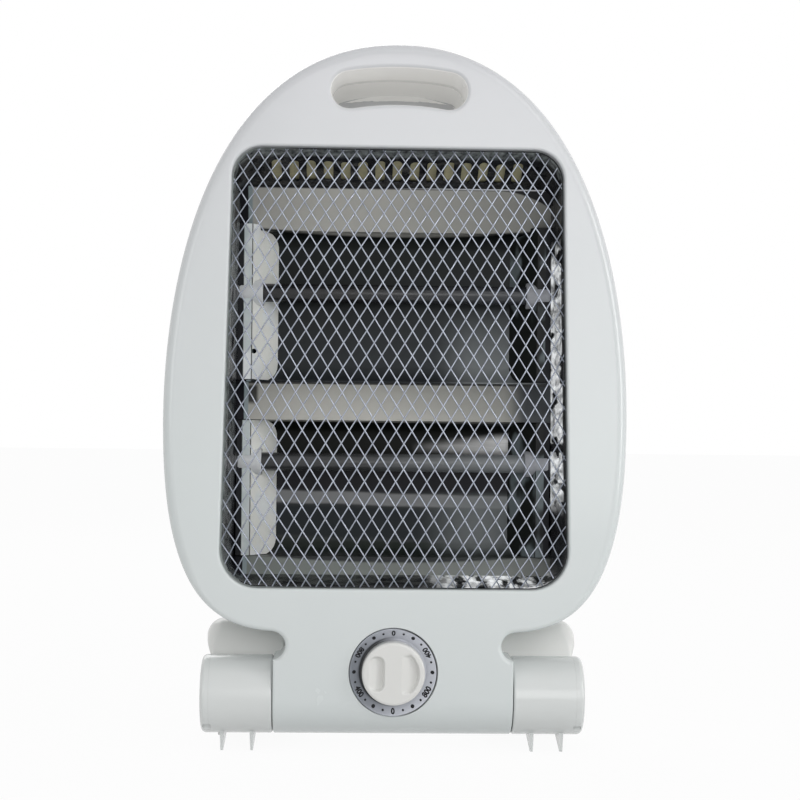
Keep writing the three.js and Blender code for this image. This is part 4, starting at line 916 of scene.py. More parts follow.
def upper_mirror():
    """The upper sheet with painted reflections: a pale panel with a bowed lower edge above a trough
    painted dark and cloudy, a painted sheen on its right, and painted shade and highlight at the
    panel's top.
    """
    look = Look("upper_reflector_sheet", (0.3, 0.3, 0.28), 0.3, 0.1)
    x, z = look.along("X"), look.along("Z")
    square = look.squared(look.math("DIVIDE", x, BOW_HALF))
    panel_edge = look.minus(z, look.times(square, UPPER_BOW))
    # Painted shade in the trough: darkest high up and on the left, lighter lower down and to the
    # right, with cloudy edges.
    shade_wobble = look.ranged(look.noise(26, 2), -6, 6, 0, 1)
    depth = look.plus(look.times(x, 0.25), shade_wobble)
    low = look.ranged(look.minus(z, depth), 1, 0, *UPPER_TROUGH_SHADE)
    trough = look.mixed(low, (0.01, 0.012, 0.012), (0.034, 0.038, 0.042))
    # A painted sheen on the trough's right part.
    painted_sheen_patch = look.both(look.within(x, 34, 74, 14), look.ranged(z, 1, 0, 190, 236))
    trough = look.mixed(look.times(painted_sheen_patch, 0.85), trough, (0.27, 0.29, 0.295))
    shade = look.mixed(look.past(panel_edge, UPPER_PANEL[0], 0.7), trough, panel_tone(look, x))
    # The flange above the panel is painted: dark as shade, and pale as a highlight on the right.
    fall = look.squared(look.math("MAXIMUM", look.minus(x, 55), 0))
    top_edge = look.plus(z, look.times(fall, 0.0105))
    shade = look.mixed(look.past(top_edge, UPPER_PANEL[1], 0.5), shade, (0.02, 0.02, 0.022))
    painted_glare = look.both(look.past(z, UPPER_PANEL[1] + 0.3, 0.3), look.past(x, 20, 30))
    shade = look.mixed(painted_glare, shade, (0.7, 0.72, 0.75))
    return sheet_finish(look, left_margin(look, x, 77.4, shade))


# Painted bands of the trough's reflections and shade, each (low, high, softness, colour).
PAINTED_TROUGH_REFLECTIONS = (
    (152.0, 171.5, 0.7, (0.007, 0.008, 0.007)),
    (133.0, 152.0, 1.5, (0.014, 0.014, 0.017)),
    (125.5, 132.2, 0.8, (0.21, 0.215, 0.22)),
    (107.0, 124.5, 1.6, (0.017, 0.021, 0.024)),
    (99.0, 106.0, 1.2, (0.018, 0.023, 0.02)),
)


def lower_mirror():
    """The lower sheet with painted reflections: pale panels, a trough with painted bands of what it
    reflects of the tubes, a painted sheen and flash, and painted shade at the divider's ends and
    along its top.
    """
    look = Look("lower_reflector_sheet", (0.3, 0.3, 0.28), 0.3, 0.1)
    x, z = look.along("X"), look.along("Z")
    square = look.squared(look.math("DIVIDE", x, BOW_HALF))
    sway = look.ranged(look.noise(34, 1), -1.2, 1.2, 0, 1)
    height = look.plus(z, look.plus(sway, look.times(x, LOWER_TILT)))
    # The trough is painted dark, as its dark reflections.
    clouds = look.ranged(look.noise(12, 3), 0, 1)
    trough = look.mixed(clouds, (0.03, 0.034, 0.034), (0.05, 0.052, 0.055))
    for low, high, soft, colour in PAINTED_TROUGH_REFLECTIONS:
        trough = look.mixed(look.within(height, low, high, soft), trough, colour)
    # A painted sheen below the lower tube on the right.
    painted_lower_sheen = look.both(look.within(x, 30, 68, 20), look.within(z, 100, 131, 4))
    trough = look.mixed(look.times(painted_lower_sheen, 0.75), trough, (0.19, 0.205, 0.21))
    # A painted flash: a streaked highlight in the trough above the tube, on the right.
    streak = look.ranged(look.noise(5, 4, (0.08, 1, 0.8)), 0.35, 1)
    start, end = FLASH_SPAN
    fade = look.both(look.ranged(x, 0, 1, start, end - 10), look.ranged(x, 1, 0, end - 6, end))
    wedge = look.minus(height, look.times(x, FLASH_TILT))
    flash = look.both(fade, look.past(height, FLASH_HEIGHTS[0], 1.8), streak)
    flash = look.both(flash, look.minus(1, look.past(wedge, FLASH_HEIGHTS[1], 2.6)))
    trough = look.mixed(flash, trough, (1.0, 1.0, 1.0))
    # Painted shade on the divider's right end, and along the fold above it.
    panel = look.mixed(look.past(x, 65, 7), panel_tone(look, x), (0.06, 0.065, 0.07))
    shade = look.mixed(look.past(z, LOWER_PANEL[0], 0.5), trough, panel)
    shade = look.mixed(look.past(z, LOWER_PANEL[1], 0.3), shade, (0.06, 0.06, 0.06))
    low_edge = look.plus(z, look.times(square, LOWER_BOW))
    below = look.minus(1, look.past(low_edge, LOWER_EDGE, 0.8))
    across = look.ranged(x, 0, 1, -SIDE_WALL, SIDE_WALL)
    shade = look.mixed(below, shade, look.mixed(across, (0.22, 0.24, 0.225), (0.2, 0.21, 0.2)))
    # Painted shade on the divider's left end.
    ends = look.within(look.times(x, -1), 73.5, 79, 1.2)
    ends = look.both(ends, look.within(z, 181, 191, 1.5))
    shade = look.mixed(ends, shade, (0.06, 0.06, 0.058))
    return sheet_finish(look, left_margin(look, x, 78.5, shade))


def end_plate_metal(name, strip, slant, painted_highlights):
    """A folded end plate: a flat strip, a fold line painted dark as shade, and a slanting wall, with
    painted highlight patches and painted shade past the strip.
    """
    look = Look(name, slant, 0.3, 0.1)
    out = look.math("ABSOLUTE", look.along("X"))
    clouds = look.ranged(look.noise(14, 3), 0.5, 1)
    fold = PLATE_FOLD[0]
    shade = look.mixed(look.both(clouds, look.past(out, fold - 0.1, 0.8)), slant, strip)
    # Painted highlight patches.
    patches = look.past(look.noise(16, 2, (1, 1, 0.6)), 0.57, 0.05)
    shade = look.mixed(patches, shade, painted_highlights)
    # Painted shade along the fold line and past the flat strip.
    shade = look.mixed(look.within(out, fold - 0.5, fold, 0.15), shade, (0.02, 0.02, 0.02))
    look.colour(look.mixed(look.past(out, fold + 4.2, 0.3), shade, (0.012, 0.013, 0.016)))
    look.set(Specular_IOR_Level=0.15)
    look.bump((look.noise(30, 1), 0.4), (look.noise(0.8, 3), 0.006))
    return look.material


def quartz(name, dark, pale):
    """Milky fused quartz over a dark coil, with painted light that makes it paler towards its right
    end.
    """
    look = Look(name, dark, 0.25)
    # Painted light: paler towards the right end.
    share = look.ranged(look.along("X"), 0, 1, -20, 72)
    mottle = look.ranged(look.noise(6, 4, (0.3, 1, 1)), -0.2, 0.2, 0, 1)
    look.colour(look.mixed(look.plus(share, mottle), dark, pale))
    look.bump((look.noise(0.5, 2), 0.01))
    look.set(Transmission_Weight=0.25, IOR=1.46, Coat_Weight=0.15, Coat_Roughness=0.15)
    return look.material


def ceramic(name, colour, shade):
    look = Look(name, colour, 0.55)
    look.colour(look.mixed(look.ranged(look.noise(3, 5), 0, 1), colour, shade))
    look.bump((look.noise(0.35, 4), 0.03))
    return look.material


def satin(name, colour, shade, roughness):
    """Fine-grained plastic or rubber with a little dust in its grain."""
    look = Look(name, colour, roughness)
    look.colour(look.mixed(look.ranged(look.noise(2.5, 6), 0, 1), colour, shade))
    look.rough(look.ranged(look.noise(6, 4), roughness - 0.05, roughness + 0.08))
    look.bump((look.noise(0.25, 3), 0.012))
    return look.material


def dial_paint():
    """Lavender paint with painted light and shade: lighter to the right, a painted shadow on the left
    under the knob's edge, and a dark outer rim on the right painted as shade in the gap.
    """
    look = Look("dial_paint", (0.5, 0.51, 0.58), 0.42)
    x, up = look.along("X"), look.minus(look.along("Z"), DIAL_HEIGHT)
    radius = look.math("SQRT", look.plus(look.times(x, x), look.times(up, up)))
    grain = look.ranged(look.noise(2.5, 6), -0.08, 0.08, 0, 1)
    # Painted shade: darker to the left and lighter to the right.
    across = look.plus(look.ranged(x, 0, 1, -21, 15), grain)
    shade = look.mixed(across, (0.28, 0.3, 0.34), (0.68, 0.7, 0.76))
    left = look.times(x, -1)
    # A painted shadow of the knob over the inner left of the ring.
    under = look.both(look.past(look.times(radius, -1), -KNOB_SHADOW_RADIUS, 0.6), look.past(left, 3, 8))
    shade = look.mixed(under, shade, (0.03, 0.033, 0.035))
    # Painted shade in the recess's gap round the rim's right side.
    rim = look.both(look.past(radius, DIAL_RADIUS - 0.35, 0.12), look.past(x, 4, 6))
    look.colour(look.mixed(rim, shade, (0.06, 0.065, 0.07)))
    look.bump((look.noise(0.25, 3), 0.012))
    return look.material


def rim_metal():
    """The net's plated rim: pale on the left, dark on the right, where it lies in shade."""
    look = Look("plated_rim", (0.1, 0.11, 0.11), 0.45)
    across = look.plus(look.ranged(look.along("X"), 0, 1, -88, -40), look.noise(14, 3))
    across = look.minus(across, 0.5)
    look.colour(look.mixed(across, (0.26, 0.29, 0.28), (0.03, 0.034, 0.034)))
    look.set(Specular_IOR_Level=0.3)
    look.bump((look.noise(1.2, 3), 0.02))
    return look.material


MATERIALS = {
    "shell": moulded("shell_plastic", (0.645, 0.68, 0.68), (0.62, 0.66, 0.658), 0.26),
    "grip": grip_plastic_painted_glow(),
    "foot": moulded("foot_plastic", (0.67, 0.69, 0.685), (0.64, 0.662, 0.655), 0.24),
    # The paddles are painted paler than the feet, as painted light on their rear, which lies in the
    # body's shade.
    "paddle": moulded("paddle_plastic", (0.75, 0.755, 0.74), (0.72, 0.725, 0.705), 0.34),
    "knob": moulded("knob_plastic", (0.71, 0.71, 0.69), (0.68, 0.68, 0.66), 0.3),
    "dial": dial_paint(),
    "ink": satin("dial_ink", (0.006, 0.006, 0.008), (0.012, 0.012, 0.015), 0.6),
    "wire": plated("plated_wire", (0.42, 0.45, 0.515), (0.3, 0.325, 0.385), 0.3),
    "rim": rim_metal(),
    "tray": tray_metal(),
    "mirror_upper": upper_mirror(),
    "mirror_lower": lower_mirror(),
    # The left plates are painted lit and the right ones painted in shade: lit and shaded copies of
    # one metal.
    "plate_left": end_plate_metal(
        "painted_lit_end_plate", (0.6, 0.67, 0.69), (0.95, 0.96, 0.92), (0.93, 0.96, 0.97)
    ),
    "plate_right": end_plate_metal(
        "shaded_end_plate", (0.015, 0.016, 0.017), (0.012, 0.014, 0.013), (0.16, 0.19, 0.2)
    ),
    "shield": satin("vent_shield", (0.66, 0.61, 0.38), (0.54, 0.5, 0.32), 0.5),
    # The upper tube is painted darker than the lower one, as painted shade: shaded and lit copies of
    # one quartz.
    "quartz_upper": quartz("upper_frosted_quartz", (0.018, 0.018, 0.02), (0.055, 0.06, 0.07)),
    "quartz_lower": quartz("lower_frosted_quartz", (0.05, 0.052, 0.055), (0.3, 0.32, 0.33)),
    "coil": plated("coil_wire", (0.2, 0.18, 0.16), (0.12, 0.11, 0.1), 0.5, 2.0),
    # The left caps are painted lit and the right ones painted in shade: lit and shaded copies of one
    # steatite.
    "cap_left": ceramic("painted_lit_steatite", (0.8, 0.82, 0.84), (0.74, 0.76, 0.78)),
    "cap_right": ceramic("steatite", (0.4, 0.41, 0.44), (0.33, 0.34, 0.37)),
    "brass": plated("plated_brass", (0.6, 0.5, 0.28), (0.48, 0.4, 0.24), 0.35, 3.0),
    "steel": plated("zinc_steel", (0.55, 0.55, 0.56), (0.42, 0.42, 0.44), 0.35, 3.0),
    "black": satin("black_plastic", (0.02, 0.02, 0.021), (0.035, 0.035, 0.037), 0.42),
    "grey": satin("grey_plastic", (0.3, 0.3, 0.31), (0.25, 0.25, 0.26), 0.45),
    "white": satin("white_sleeve", (0.62, 0.62, 0.6), (0.54, 0.54, 0.52), 0.5),
    "red": satin("red_sleeve", (0.42, 0.03, 0.025), (0.33, 0.02, 0.02), 0.45),
}


# Pieces.


def front_shell():
    surface = front_skin()
    add_stub(surface, 1)
    add_stub(surface, -1)
    replaced = ["front_shell"]
    even_normals(sheet(surface, "moulded_front", FRONT, WALL, "root", "shell", replaced))


def crown_limit(x, inset):
    """The highest a pocket wall may be at x, inside an egg drawn in by inset."""
    xs, zs, _, _ = zip(*egg_side(40)[:30])
    return float(np.interp(abs(x), xs, zs)) - inset - WALL - POCKET_CLEAR


def back_inset(y):
    bend = BACK - BACK_ROUND
    if y <= bend:
        return BACK_DRAFT * max(y - SEAM, 0) / (bend - SEAM)
    rise = min((y - bend) / BACK_ROUND, 1)
    return BACK_DRAFT + BACK_ROUND * (1 - math.sqrt(1 - rise * rise))


LOUVRE_ROWS = 10
LOUVRE_PITCH = 17.0
LOUVRE_LOW = 108.0
LOUVRE_HALF_HEIGHT = 2.0
LOUVRE_LENGTH = 52.0
LOUVRE_X = 33.0
LOUVRE_EDGE = ((0.6, 0), (0.2, 0.2), (0.0, 0.6))
COUNTERBORE = 3.4
SCREW_HOLE = 1.7
BOSS_RADIUS = 4.6
BOSS_FLOOR = 2.0
GLAND_HOLE = 7.3
POCKET_WALL = 1.6
POCKET_ROUND = 2.0
POCKET_CLEAR = 0.6
POCKET_DRAFT = 0.02
BASE_BACK_ROUND = 1.0

# The screws of the right half: x, height, and where each counterbore starts and ends.
BODY_SCREWS = (
    (51.0, 338.0, BACK - 8.5, SEAM + 4.8),
    (108.0, 150.0, BACK - 11.5, SEAM + 4.8),
    (47.0, AXIS, BASE_RADIUS - 1.5, SEAM + 2),
)


def louvre_outline(x, z, grow):
    half = LOUVRE_HALF_HEIGHT + grow
    reach = LOUVRE_LENGTH / 2 - LOUVRE_HALF_HEIGHT
    right = spread(-math.pi / 2, math.pi / 2, 8)
    return arc(x + reach, z, half, right) + arc(x - reach, z, -half, right)


def back_skin():
    surface = Surface()
    loop = egg_loop(44)
    seam_back = SEAM + SEAM_HALF_GAP
    bend = BACK - BACK_ROUND
    rows = [inset_ring(loop, SEAM_BEVEL, seam_back)]
    start = seam_back + SEAM_BEVEL_DEPTH
    rows += [inset_ring(loop, back_inset(y), y) for y in spread(start, bend, 5)]
    for angle in quarter(12)[1:]:
        y = bend + BACK_ROUND * math.sin(angle)
        rows.append(inset_ring(loop, BACK_DRAFT + BACK_ROUND * (1 - math.cos(angle)), y))
    surface.grid(rows, closed=True)
    outer = [(x, z) for x, _, z in rows[-1]]
    holes = []
    for row in range(LOUVRE_ROWS):
        for side in SIDES.values():
            place_x, place_z = side * LOUVRE_X, LOUVRE_LOW + row * LOUVRE_PITCH
            edge = [louvre_outline(place_x, place_z, grow) for grow, _ in LOUVRE_EDGE]
            sunk = [depth for _, depth in LOUVRE_EDGE]
            surface.grid([[(x, BACK - d, z) for x, z in r] for r, d in zip(edge, sunk)], True)
            holes.append(edge[0])
    points, faces = filled(outer, holes)
    surface.triangles([(x, BACK, z) for x, z in points], faces)
    return surface


def pocket_skin(surface):
    """The part of the handle pocket behind the seam, kept inside the rounded back."""
    rows = []
    start, bend = SEAM + SEAM_HALF_GAP, SLOT_BACK - POCKET_ROUND
    ends = [(SEAM_BEVEL, start), (0, start + SEAM_BEVEL_DEPTH)]
    ends += [(-POCKET_DRAFT * (y - SEAM), y) for y in spread(20, bend, 8)]
    for a in quarter(5):
        ends.append((-1.2 - 1.5 * (1 - math.cos(a)), bend + POCKET_ROUND * math.sin(a)))
    for grow, y in ends:
        limit = back_inset(y)
        outline = slot_outline(grow)
        rows.append([(x, y, min(z, crown_limit(x, limit) + min(grow, 0))) for x, z in outline])
    surface.grid(rows, closed=True)
    surface.polygon(rows[-1])


def base_back_skin(surface):
    seam_back = SEAM + SEAM_HALF_GAP
    wall = BASE_RADIUS - seam_back
    turn = math.acos(seam_back / BASE_RADIUS)
    rows = spread(AXIS, AXIS - BASE_RADIUS * turn, 10)
    side = [(NOTCH_X - 5, UNDERSIDE + 3, 1, 0, BASE_BACK_ROUND, wall)]
    side += [(*p[:4], BASE_BACK_ROUND, wall) for p in notch_side(wall)[5:]]
    side += base_side(rows, wall, wall)
    surface.grid(rounds(side, 5, 1))
    surface.grid(rounds(mirrored(side), 5, 1))
    outer = [(x - nx * r, s - ns * r) for x, s, nx, ns, r, _ in side + mirrored(side)]
    outer = [p for i, p in enumerate(outer) if math.dist(p, outer[i - 1]) > 1e-3]
    points, faces = filled(outer, [], bend_lines(rows, BASE_HALF - BASE_BACK_ROUND))
    surface.triangles([skin_point(x, s, 0, 1) for x, s in points], faces)


def back_shell():
    replaced = ["back_shell"]
    piece = sheet(back_skin(), "moulded_back", REAR, WALL, "root", "shell", replaced)
    holes = Surface()
    for x, z, _, _ in BODY_SCREWS[:2]:
        for side in SIDES.values():
            turned_y(holes, drilled(COUNTERBORE, SEAM + 8, BACK + 3), side * x, z, 40)
    cut_out(piece, holes)
    even_normals(piece)


def base_back():
    """The rear half of the base, bored for its screws and the cord's gland."""
    surface = Surface()
    base_back_skin(surface)
    piece = sheet(surface, "base_back", REAR, WALL, "root", "shell")
    holes = Surface()
    screw_x = BODY_SCREWS[2][0]
    for x, radius in ((-screw_x, COUNTERBORE), (screw_x, COUNTERBORE), (0, GLAND_HOLE)):
        turned_y(holes, drilled(radius, SEAM - 4, BASE_RADIUS + 3), x, AXIS, 48)
    cut_out(piece, holes)
    even_normals(piece)


def handle_pocket():
    surface = Surface()
    pocket_skin(surface)
    data = surface.mesh("handle_pocket")
    face_mostly(data, FRONT)
    piece = place(data, "root", "grip", angle=50)
    thicken(piece, POCKET_WALL)
    even_normals(piece)


def screw_bosses():
    """A cup round each body screw, from its mouth in the back down to the screw's seat."""
    surface = Surface()
    for x, z, mouth, seat in BODY_SCREWS:
        under = seat - BOSS_FLOOR
        profile = [(COUNTERBORE, mouth), (COUNTERBORE, seat), (SCREW_HOLE, seat), (SCREW_HOLE, under)]
        profile += [(BOSS_RADIUS, under), (BOSS_RADIUS, mouth), (COUNTERBORE, mouth)]
        for side in SIDES.values():
            turned_y(surface, profile, side * x, z, 32)
    place(surface.mesh("screw_bosses"), "root", "shell")


# The wire net.

DOME_RISE = 15.0
DOME_FOOT = 0.6
DOME_SQUARE = 7
DOME_FULLNESS = 3.2
RIM_FRONT = -13.6
RIM_THICKNESS = 1.1
RIM_REACH = (-0.4, 6.2)
WIRE_RADIUS = 0.35
WIRE_LIFT = 0.32
WIRE_STEPS = 4
COLUMN_STEPS = ((84, 7.55), (120, 7.95), (170, 8.0), (250, 7.62), (300, 7.3), (320, 7.2))
ROW_STEPS = ((84, 12.2), (110, 13.0), (180, 12.9), (240, 12.3), (290, 11.0), (320, 10.4))


def interpolated(table, z):
    return float(np.interp(z, [p[0] for p in table], [p[1] for p in table]))


def window_half(z):
    share = (z - WINDOW_BOTTOM) / (WINDOW_TOP - WINDOW_BOTTOM)
    return WINDOW_BOTTOM_HALF + (WINDOW_TOP_HALF - WINDOW_BOTTOM_HALF) * share


def net_y(x, z):
    """The middle surface of the net, domed out of the window."""
    middle = (WINDOW_TOP + WINDOW_BOTTOM) / 2
    across = abs(x) / window_half(z)
    up = abs(z - middle) / ((WINDOW_TOP - WINDOW_BOTTOM) / 2)
    reach = min((across**DOME_SQUARE + up**DOME_SQUARE) ** (1 / DOME_SQUARE), 1)
    return RIM_FRONT + DOME_FOOT - (DOME_RISE - DOME_FOOT) * (1 - reach**DOME_FULLNESS)


def net_rows():
    """The heights of the half rows of crossings, from the bottom of the window to its top."""
    heights = [WINDOW_BOTTOM - 8.0]
    while heights[-1] < WINDOW_TOP + 8:
        heights.append(heights[-1] + interpolated(ROW_STEPS, heights[-1]) / 2)
    return heights


def net_wire(heights, column, way, within):
    """The points of one strand from rim to rim, lifted a little where it passes over."""
    points = []
    for k in range(len(heights) - 1):
        for step in range(WIRE_STEPS):
            t = step / WIRE_STEPS
            z = heights[k] + (heights[k + 1] - heights[k]) * t
            i = column + way * (k + t)
            x = i * interpolated(COLUMN_STEPS, z) / 2
            lift = WIRE_LIFT * way * math.cos(math.pi * (k + t))
            points.append((x, net_y(x, min(max(z, WINDOW_BOTTOM), WINDOW_TOP)) + lift, z))
    keep = inside([(p[0], p[2]) for p in points], within)
    found = [i for i, k in enumerate(keep) if k]
    if len(found) < 3:
        return []
    return points[found[0] : found[-1] + 1]


def tube(surface, path, radius, sides=6):
    """A round wire along a path, closed at both ends."""
    p = np.array(path)
    along = np.gradient(p, axis=0)
    along /= np.linalg.norm(along, axis=1)[:, None]
    side = np.cross(along, np.array((0.0, 1.0, 0.0)))
    flat = np.linalg.norm(side, axis=1) < 1e-6
    side[flat] = (1.0, 0, 0)
    side /= np.linalg.norm(side, axis=1)[:, None]
    up = np.cross(side, along)
    rows = []
    for at, s, u in zip(p, side, up):
        turns = round_turn(sides)
        rows.append([tuple(at + radius * (math.cos(a) * s + math.sin(a) * u)) for a in turns])
    surface.solid(rows)


def grille():
    heights = net_rows()
    within = window_outline(0.4)
    surface = Surface()
    reach = 2 * len(heights) + 30
    for column in range(-reach, reach + 1, 2):
        for way in (-1, 1):
            path = net_wire(heights, column, way, within)
            if path:
                tube(surface, path, WIRE_RADIUS)
    data = surface.mesh("wire_net", weld=0.0002)
    place(data, "root", "wire", ["grille"], angle=60)
    rim = Surface()
    rim.grid([[(x, RIM_FRONT, z) for x, z in window_outline(g)] for g in RIM_REACH], closed=True)
    sheet(rim, "net_rim", FRONT, RIM_THICKNESS, "root", "rim")


# Tray, reflectors and tubes.


def tray_outline(grow):
    return trapezoid(
        TRAY_TOP_HALF + grow,
        TRAY_BOTTOM_HALF + grow,
        TRAY_BOTTOM - grow,
        TRAY_TOP + grow,
        TRAY_CORNER + grow,
        TRAY_CORNER + grow,
    )


def divided(outlines, spacing):
    """Matching outlines with each side split alike into steps of about the spacing."""
    made = [[] for _ in outlines]
    for i, point in enumerate(outlines[0]):
        nexts = [outline[(i + 1) % len(outline)] for outline in outlines]
        steps = max(round(math.dist(point, nexts[0]) / spacing), 1)
        for split, outline, ahead in zip(made, outlines, nexts):
            for t in spread(0, 1, steps)[:-1]:
                split.append(tuple(Vector(outline[i]).lerp(Vector(ahead), t)))
    return made


def crumpled(point, middle, share):
    """A point of the tray's wall pushed in or out by the wrinkles of its thin sheet."""
    at = Vector(point)
    depth = CRUMPLE * math.sin(math.pi * share) * noise.noise(at / CRUMPLE_SIZE)
    depth += CRUMPLE / 3 * math.sin(math.pi * share) * noise.noise(at / RIPPLE_SIZE)
    out = Vector((at.x, 0, 0)) if abs(at.x) > SIDE_WALL else Vector((0, 0, at.z - middle))
    return tuple(at + out.normalized() * depth)


def tray():
    surface = Surface()
    rows = []
    outlines = (window_outline(RIM_REACH[1]), window_outline(-0.6), tray_outline(0), tray_outline(5))
    flange, front, rear, back = divided(outlines, 2.6)
    middle = (WINDOW_TOP + WINDOW_BOTTOM) / 2
    rows.append([(x, TRAY_FRONT, z) for x, z in flange])
    for t in spread(0, 1, 16):
        y = TRAY_FRONT + (TRAY_REAR - TRAY_FRONT) * t
        row = [(a + (c - a) * t, y, b + (d - b) * t) for (a, b), (c, d) in zip(front, rear)]
        rows.append([crumpled(point, middle, t) for point in row])
    rows.append([(x, TRAY_REAR, z) for x, z in back])
    surface.grid(rows, closed=True)
    data = surface.mesh("sheet_tray")
    first = max(data.polygons, key=lambda f: f.center.z if f.center.y > AXIS_Y else 0)
    if first.normal.z < 0 and abs(first.normal.z) > 0.3:
        data.flip_normals()
    piece = place(data, "root", "tray", ["reflector_tray"])
    thicken(piece, TRAY_WALL, 0)
    vents = Surface()
    y0, y1 = TRAY_FRONT + 9, TRAY_REAR - 5
    for k in range(VENTS):
        x = (k - (VENTS - 1) / 2) * VENT_PITCH
        radius = VENT_WIDTH / 2
        outline = stadium(x, y0 + radius, y1 - radius, radius)
        vents.solid([[(u, v, z) for u, v in outline] for z in (TRAY_TOP - 12, WINDOW_TOP + 12)])
    cut_out(piece, vents)
    vent_shield()


def vent_shield():
    """A beige insulating strip a little above the vents, seen through them."""
    slope = (WINDOW_TOP - TRAY_TOP) / (TRAY_REAR - TRAY_FRONT)
    surface = Surface()
    rows = []
    for y in spread(TRAY_FRONT + 5, TRAY_REAR - 1, 8):
        z = WINDOW_TOP + SHIELD_LIFT - slope * (y - TRAY_FRONT)
        rows.append([(x, y, z) for x in spread(-SHIELD_HALF, SHIELD_HALF, 20)])
    surface.grid(rows)
    sheet(surface, "vent_shield", UP, SHIELD_THICKNESS, "root", "shield")


def trough_line(start, end, deepest, corner=9.0):
    """A flat-bottomed trough between two panel edges, as (y, z) from its top to its bottom."""
    bend = deepest - corner
    upper = [(bend + corner * math.sin(a), start[1] - corner * (1 - math.cos(a))) for a in quarter(8)]
    lower = [(bend + corner * math.cos(a), end[1] + corner * (1 - math.sin(a))) for a in quarter(8)]
    return [start, *upper, *lower, end]


def end_plate(side, word, level, trough, high, tube_height):
    """A folded plate that closes the end of a trough, with holes for the tube's cap."""
    ys, zs = [p[0] for p in reversed(trough)], [p[1] for p in reversed(trough)]
    rear = LIP + TROUGH_DEPTH
    fold_x, fold_y = PLATE_FOLD
    rows = []
    for z in spread(zs[0] + 0.4, high, 40):
        y = max(min(float(np.interp(z, zs, ys)), rear) - PLATE_GAP, fold_y + 2 * PLATE_GAP)
        share = (y - fold_y) / (rear - fold_y)
        slant = fold_x + (PLATE_DEEP - fold_x) * share
        middle = fold_x + (PLATE_DEEP - fold_x) * share / 2
        plan = [(PLATE_HALF, y), (PLATE_HALF, fold_y), PLATE_FOLD]
        plan += [(middle, (y + fold_y) / 2), (slant, y)]
        rows.append([(side * u, v, z) for u, v in plan])
    surface = Surface()
    surface.grid(rows)
    data = surface.mesh(f"{word}_{level}_folded_plate")
    face_outward(data, FRONT)
    piece = place(data, "root", "plate_" + word, [f"{word}_{level}_end_plate"], 20)
    thicken(piece, SHEET, 0)
    holes = Surface()
    narrow, wide = TUBE_RADIUS + BORE_GAP, CAP_RADIUS + BORE_GAP
    bored = [(narrow, PLATE_DEEP - 3), (narrow, CAP_INNER - BORE_GAP)]
    bored += [(wide, CAP_INNER - BORE_GAP), (wide, PLATE_HALF - 1)]
    bored += [(narrow, PLATE_HALF - 1), (narrow, PLATE_HALF + 2)]
    bored = [(DRILL_POINT, bored[0][1]), *bored, (DRILL_POINT, bored[-1][1])]
    turned_x(holes, [(r, side * x) for r, x in bored], TUBE_Y, tube_height, 40)
    if level == "upper":
        turned_y(holes, drilled(1.3, 20.0, 34.0), side * PLATE_HOLE[0], PLATE_HOLE[1], 20)
    cut_out(piece, holes)


def reflectors():
    low, divide_low, divide_high, top = PANEL_EDGES
    deepest = LIP + TROUGH_DEPTH
    upper_trough = trough_line((LIP + UPPER_LEAN, top), (LIP, divide_high), deepest)
    lower_trough = trough_line((LIP, divide_low), (LIP + LOWER_LEAN, low), deepest)
    upper = [(LIP, TRAY_TOP + FLANGE), (LIP, TRAY_TOP), *upper_trough]
    lower = [(LIP, divide_high - SHEET - 0.3), *lower_trough]
    lower += [(LIP, TRAY_BOTTOM), (LIP, TRAY_BOTTOM - FLANGE)]
    for word, side in SIDES.items():
        end_plate(side, word, "upper", upper_trough, top + 3, TUBE_HEIGHTS["upper"])
        end_plate(side, word, "lower", lower_trough, divide_low - 0.4, TUBE_HEIGHTS["lower"])
    for name, line in (("upper", upper), ("lower", lower)):
        surface = Surface()
        columns = spread(-REFLECTOR_HALF, REFLECTOR_HALF, 44)
        surface.grid([[(x, y, z) for x in columns] for y, z in line])
        data = surface.mesh(name + "_folded_sheet")
        face_mostly(data, FRONT)
        piece = place(data, "root", "mirror_" + name, [name + "_reflector"])
        thicken(piece, SHEET)


def heating_tubes():
    for name, z in TUBE_HEIGHTS.items():
        glass = Surface()
        corners = [
            (TUBE_RADIUS - 1, -TUBE_HALF, 0.2),
            (TUBE_RADIUS, -TUBE_HALF, 0.3),
            (TUBE_RADIUS, TUBE_HALF, 0.3),
            (TUBE_RADIUS - 1, TUBE_HALF, 0.2),
        ]
        turned_x(glass, rounded_profile(corners), TUBE_Y, z, 48)
        data = glass.mesh(name + "_frosted_tube")
        place(data, "root", "quartz_" + name, [name + "_quartz_tube"])
        coil = Surface()
        path = []
        for k in range(COIL_TURNS * COIL_STEPS + 1):
            a = math.tau * k / COIL_STEPS
            x = -TUBE_HALF + 1 + (2 * TUBE_HALF - 2) * k / (COIL_TURNS * COIL_STEPS)
            path.append((x, TUBE_Y + COIL_RADIUS * math.cos(a), z + COIL_RADIUS * math.sin(a)))
        tube(coil, path, COIL_WIRE, 5)
        data = coil.mesh(name + "_wound_coil", weld=0.0002)
        place(data, "root", "coil", [name + "_heating_coil"])
        for word, side in SIDES.items():
            ceramic_cap(word, name, side, z)


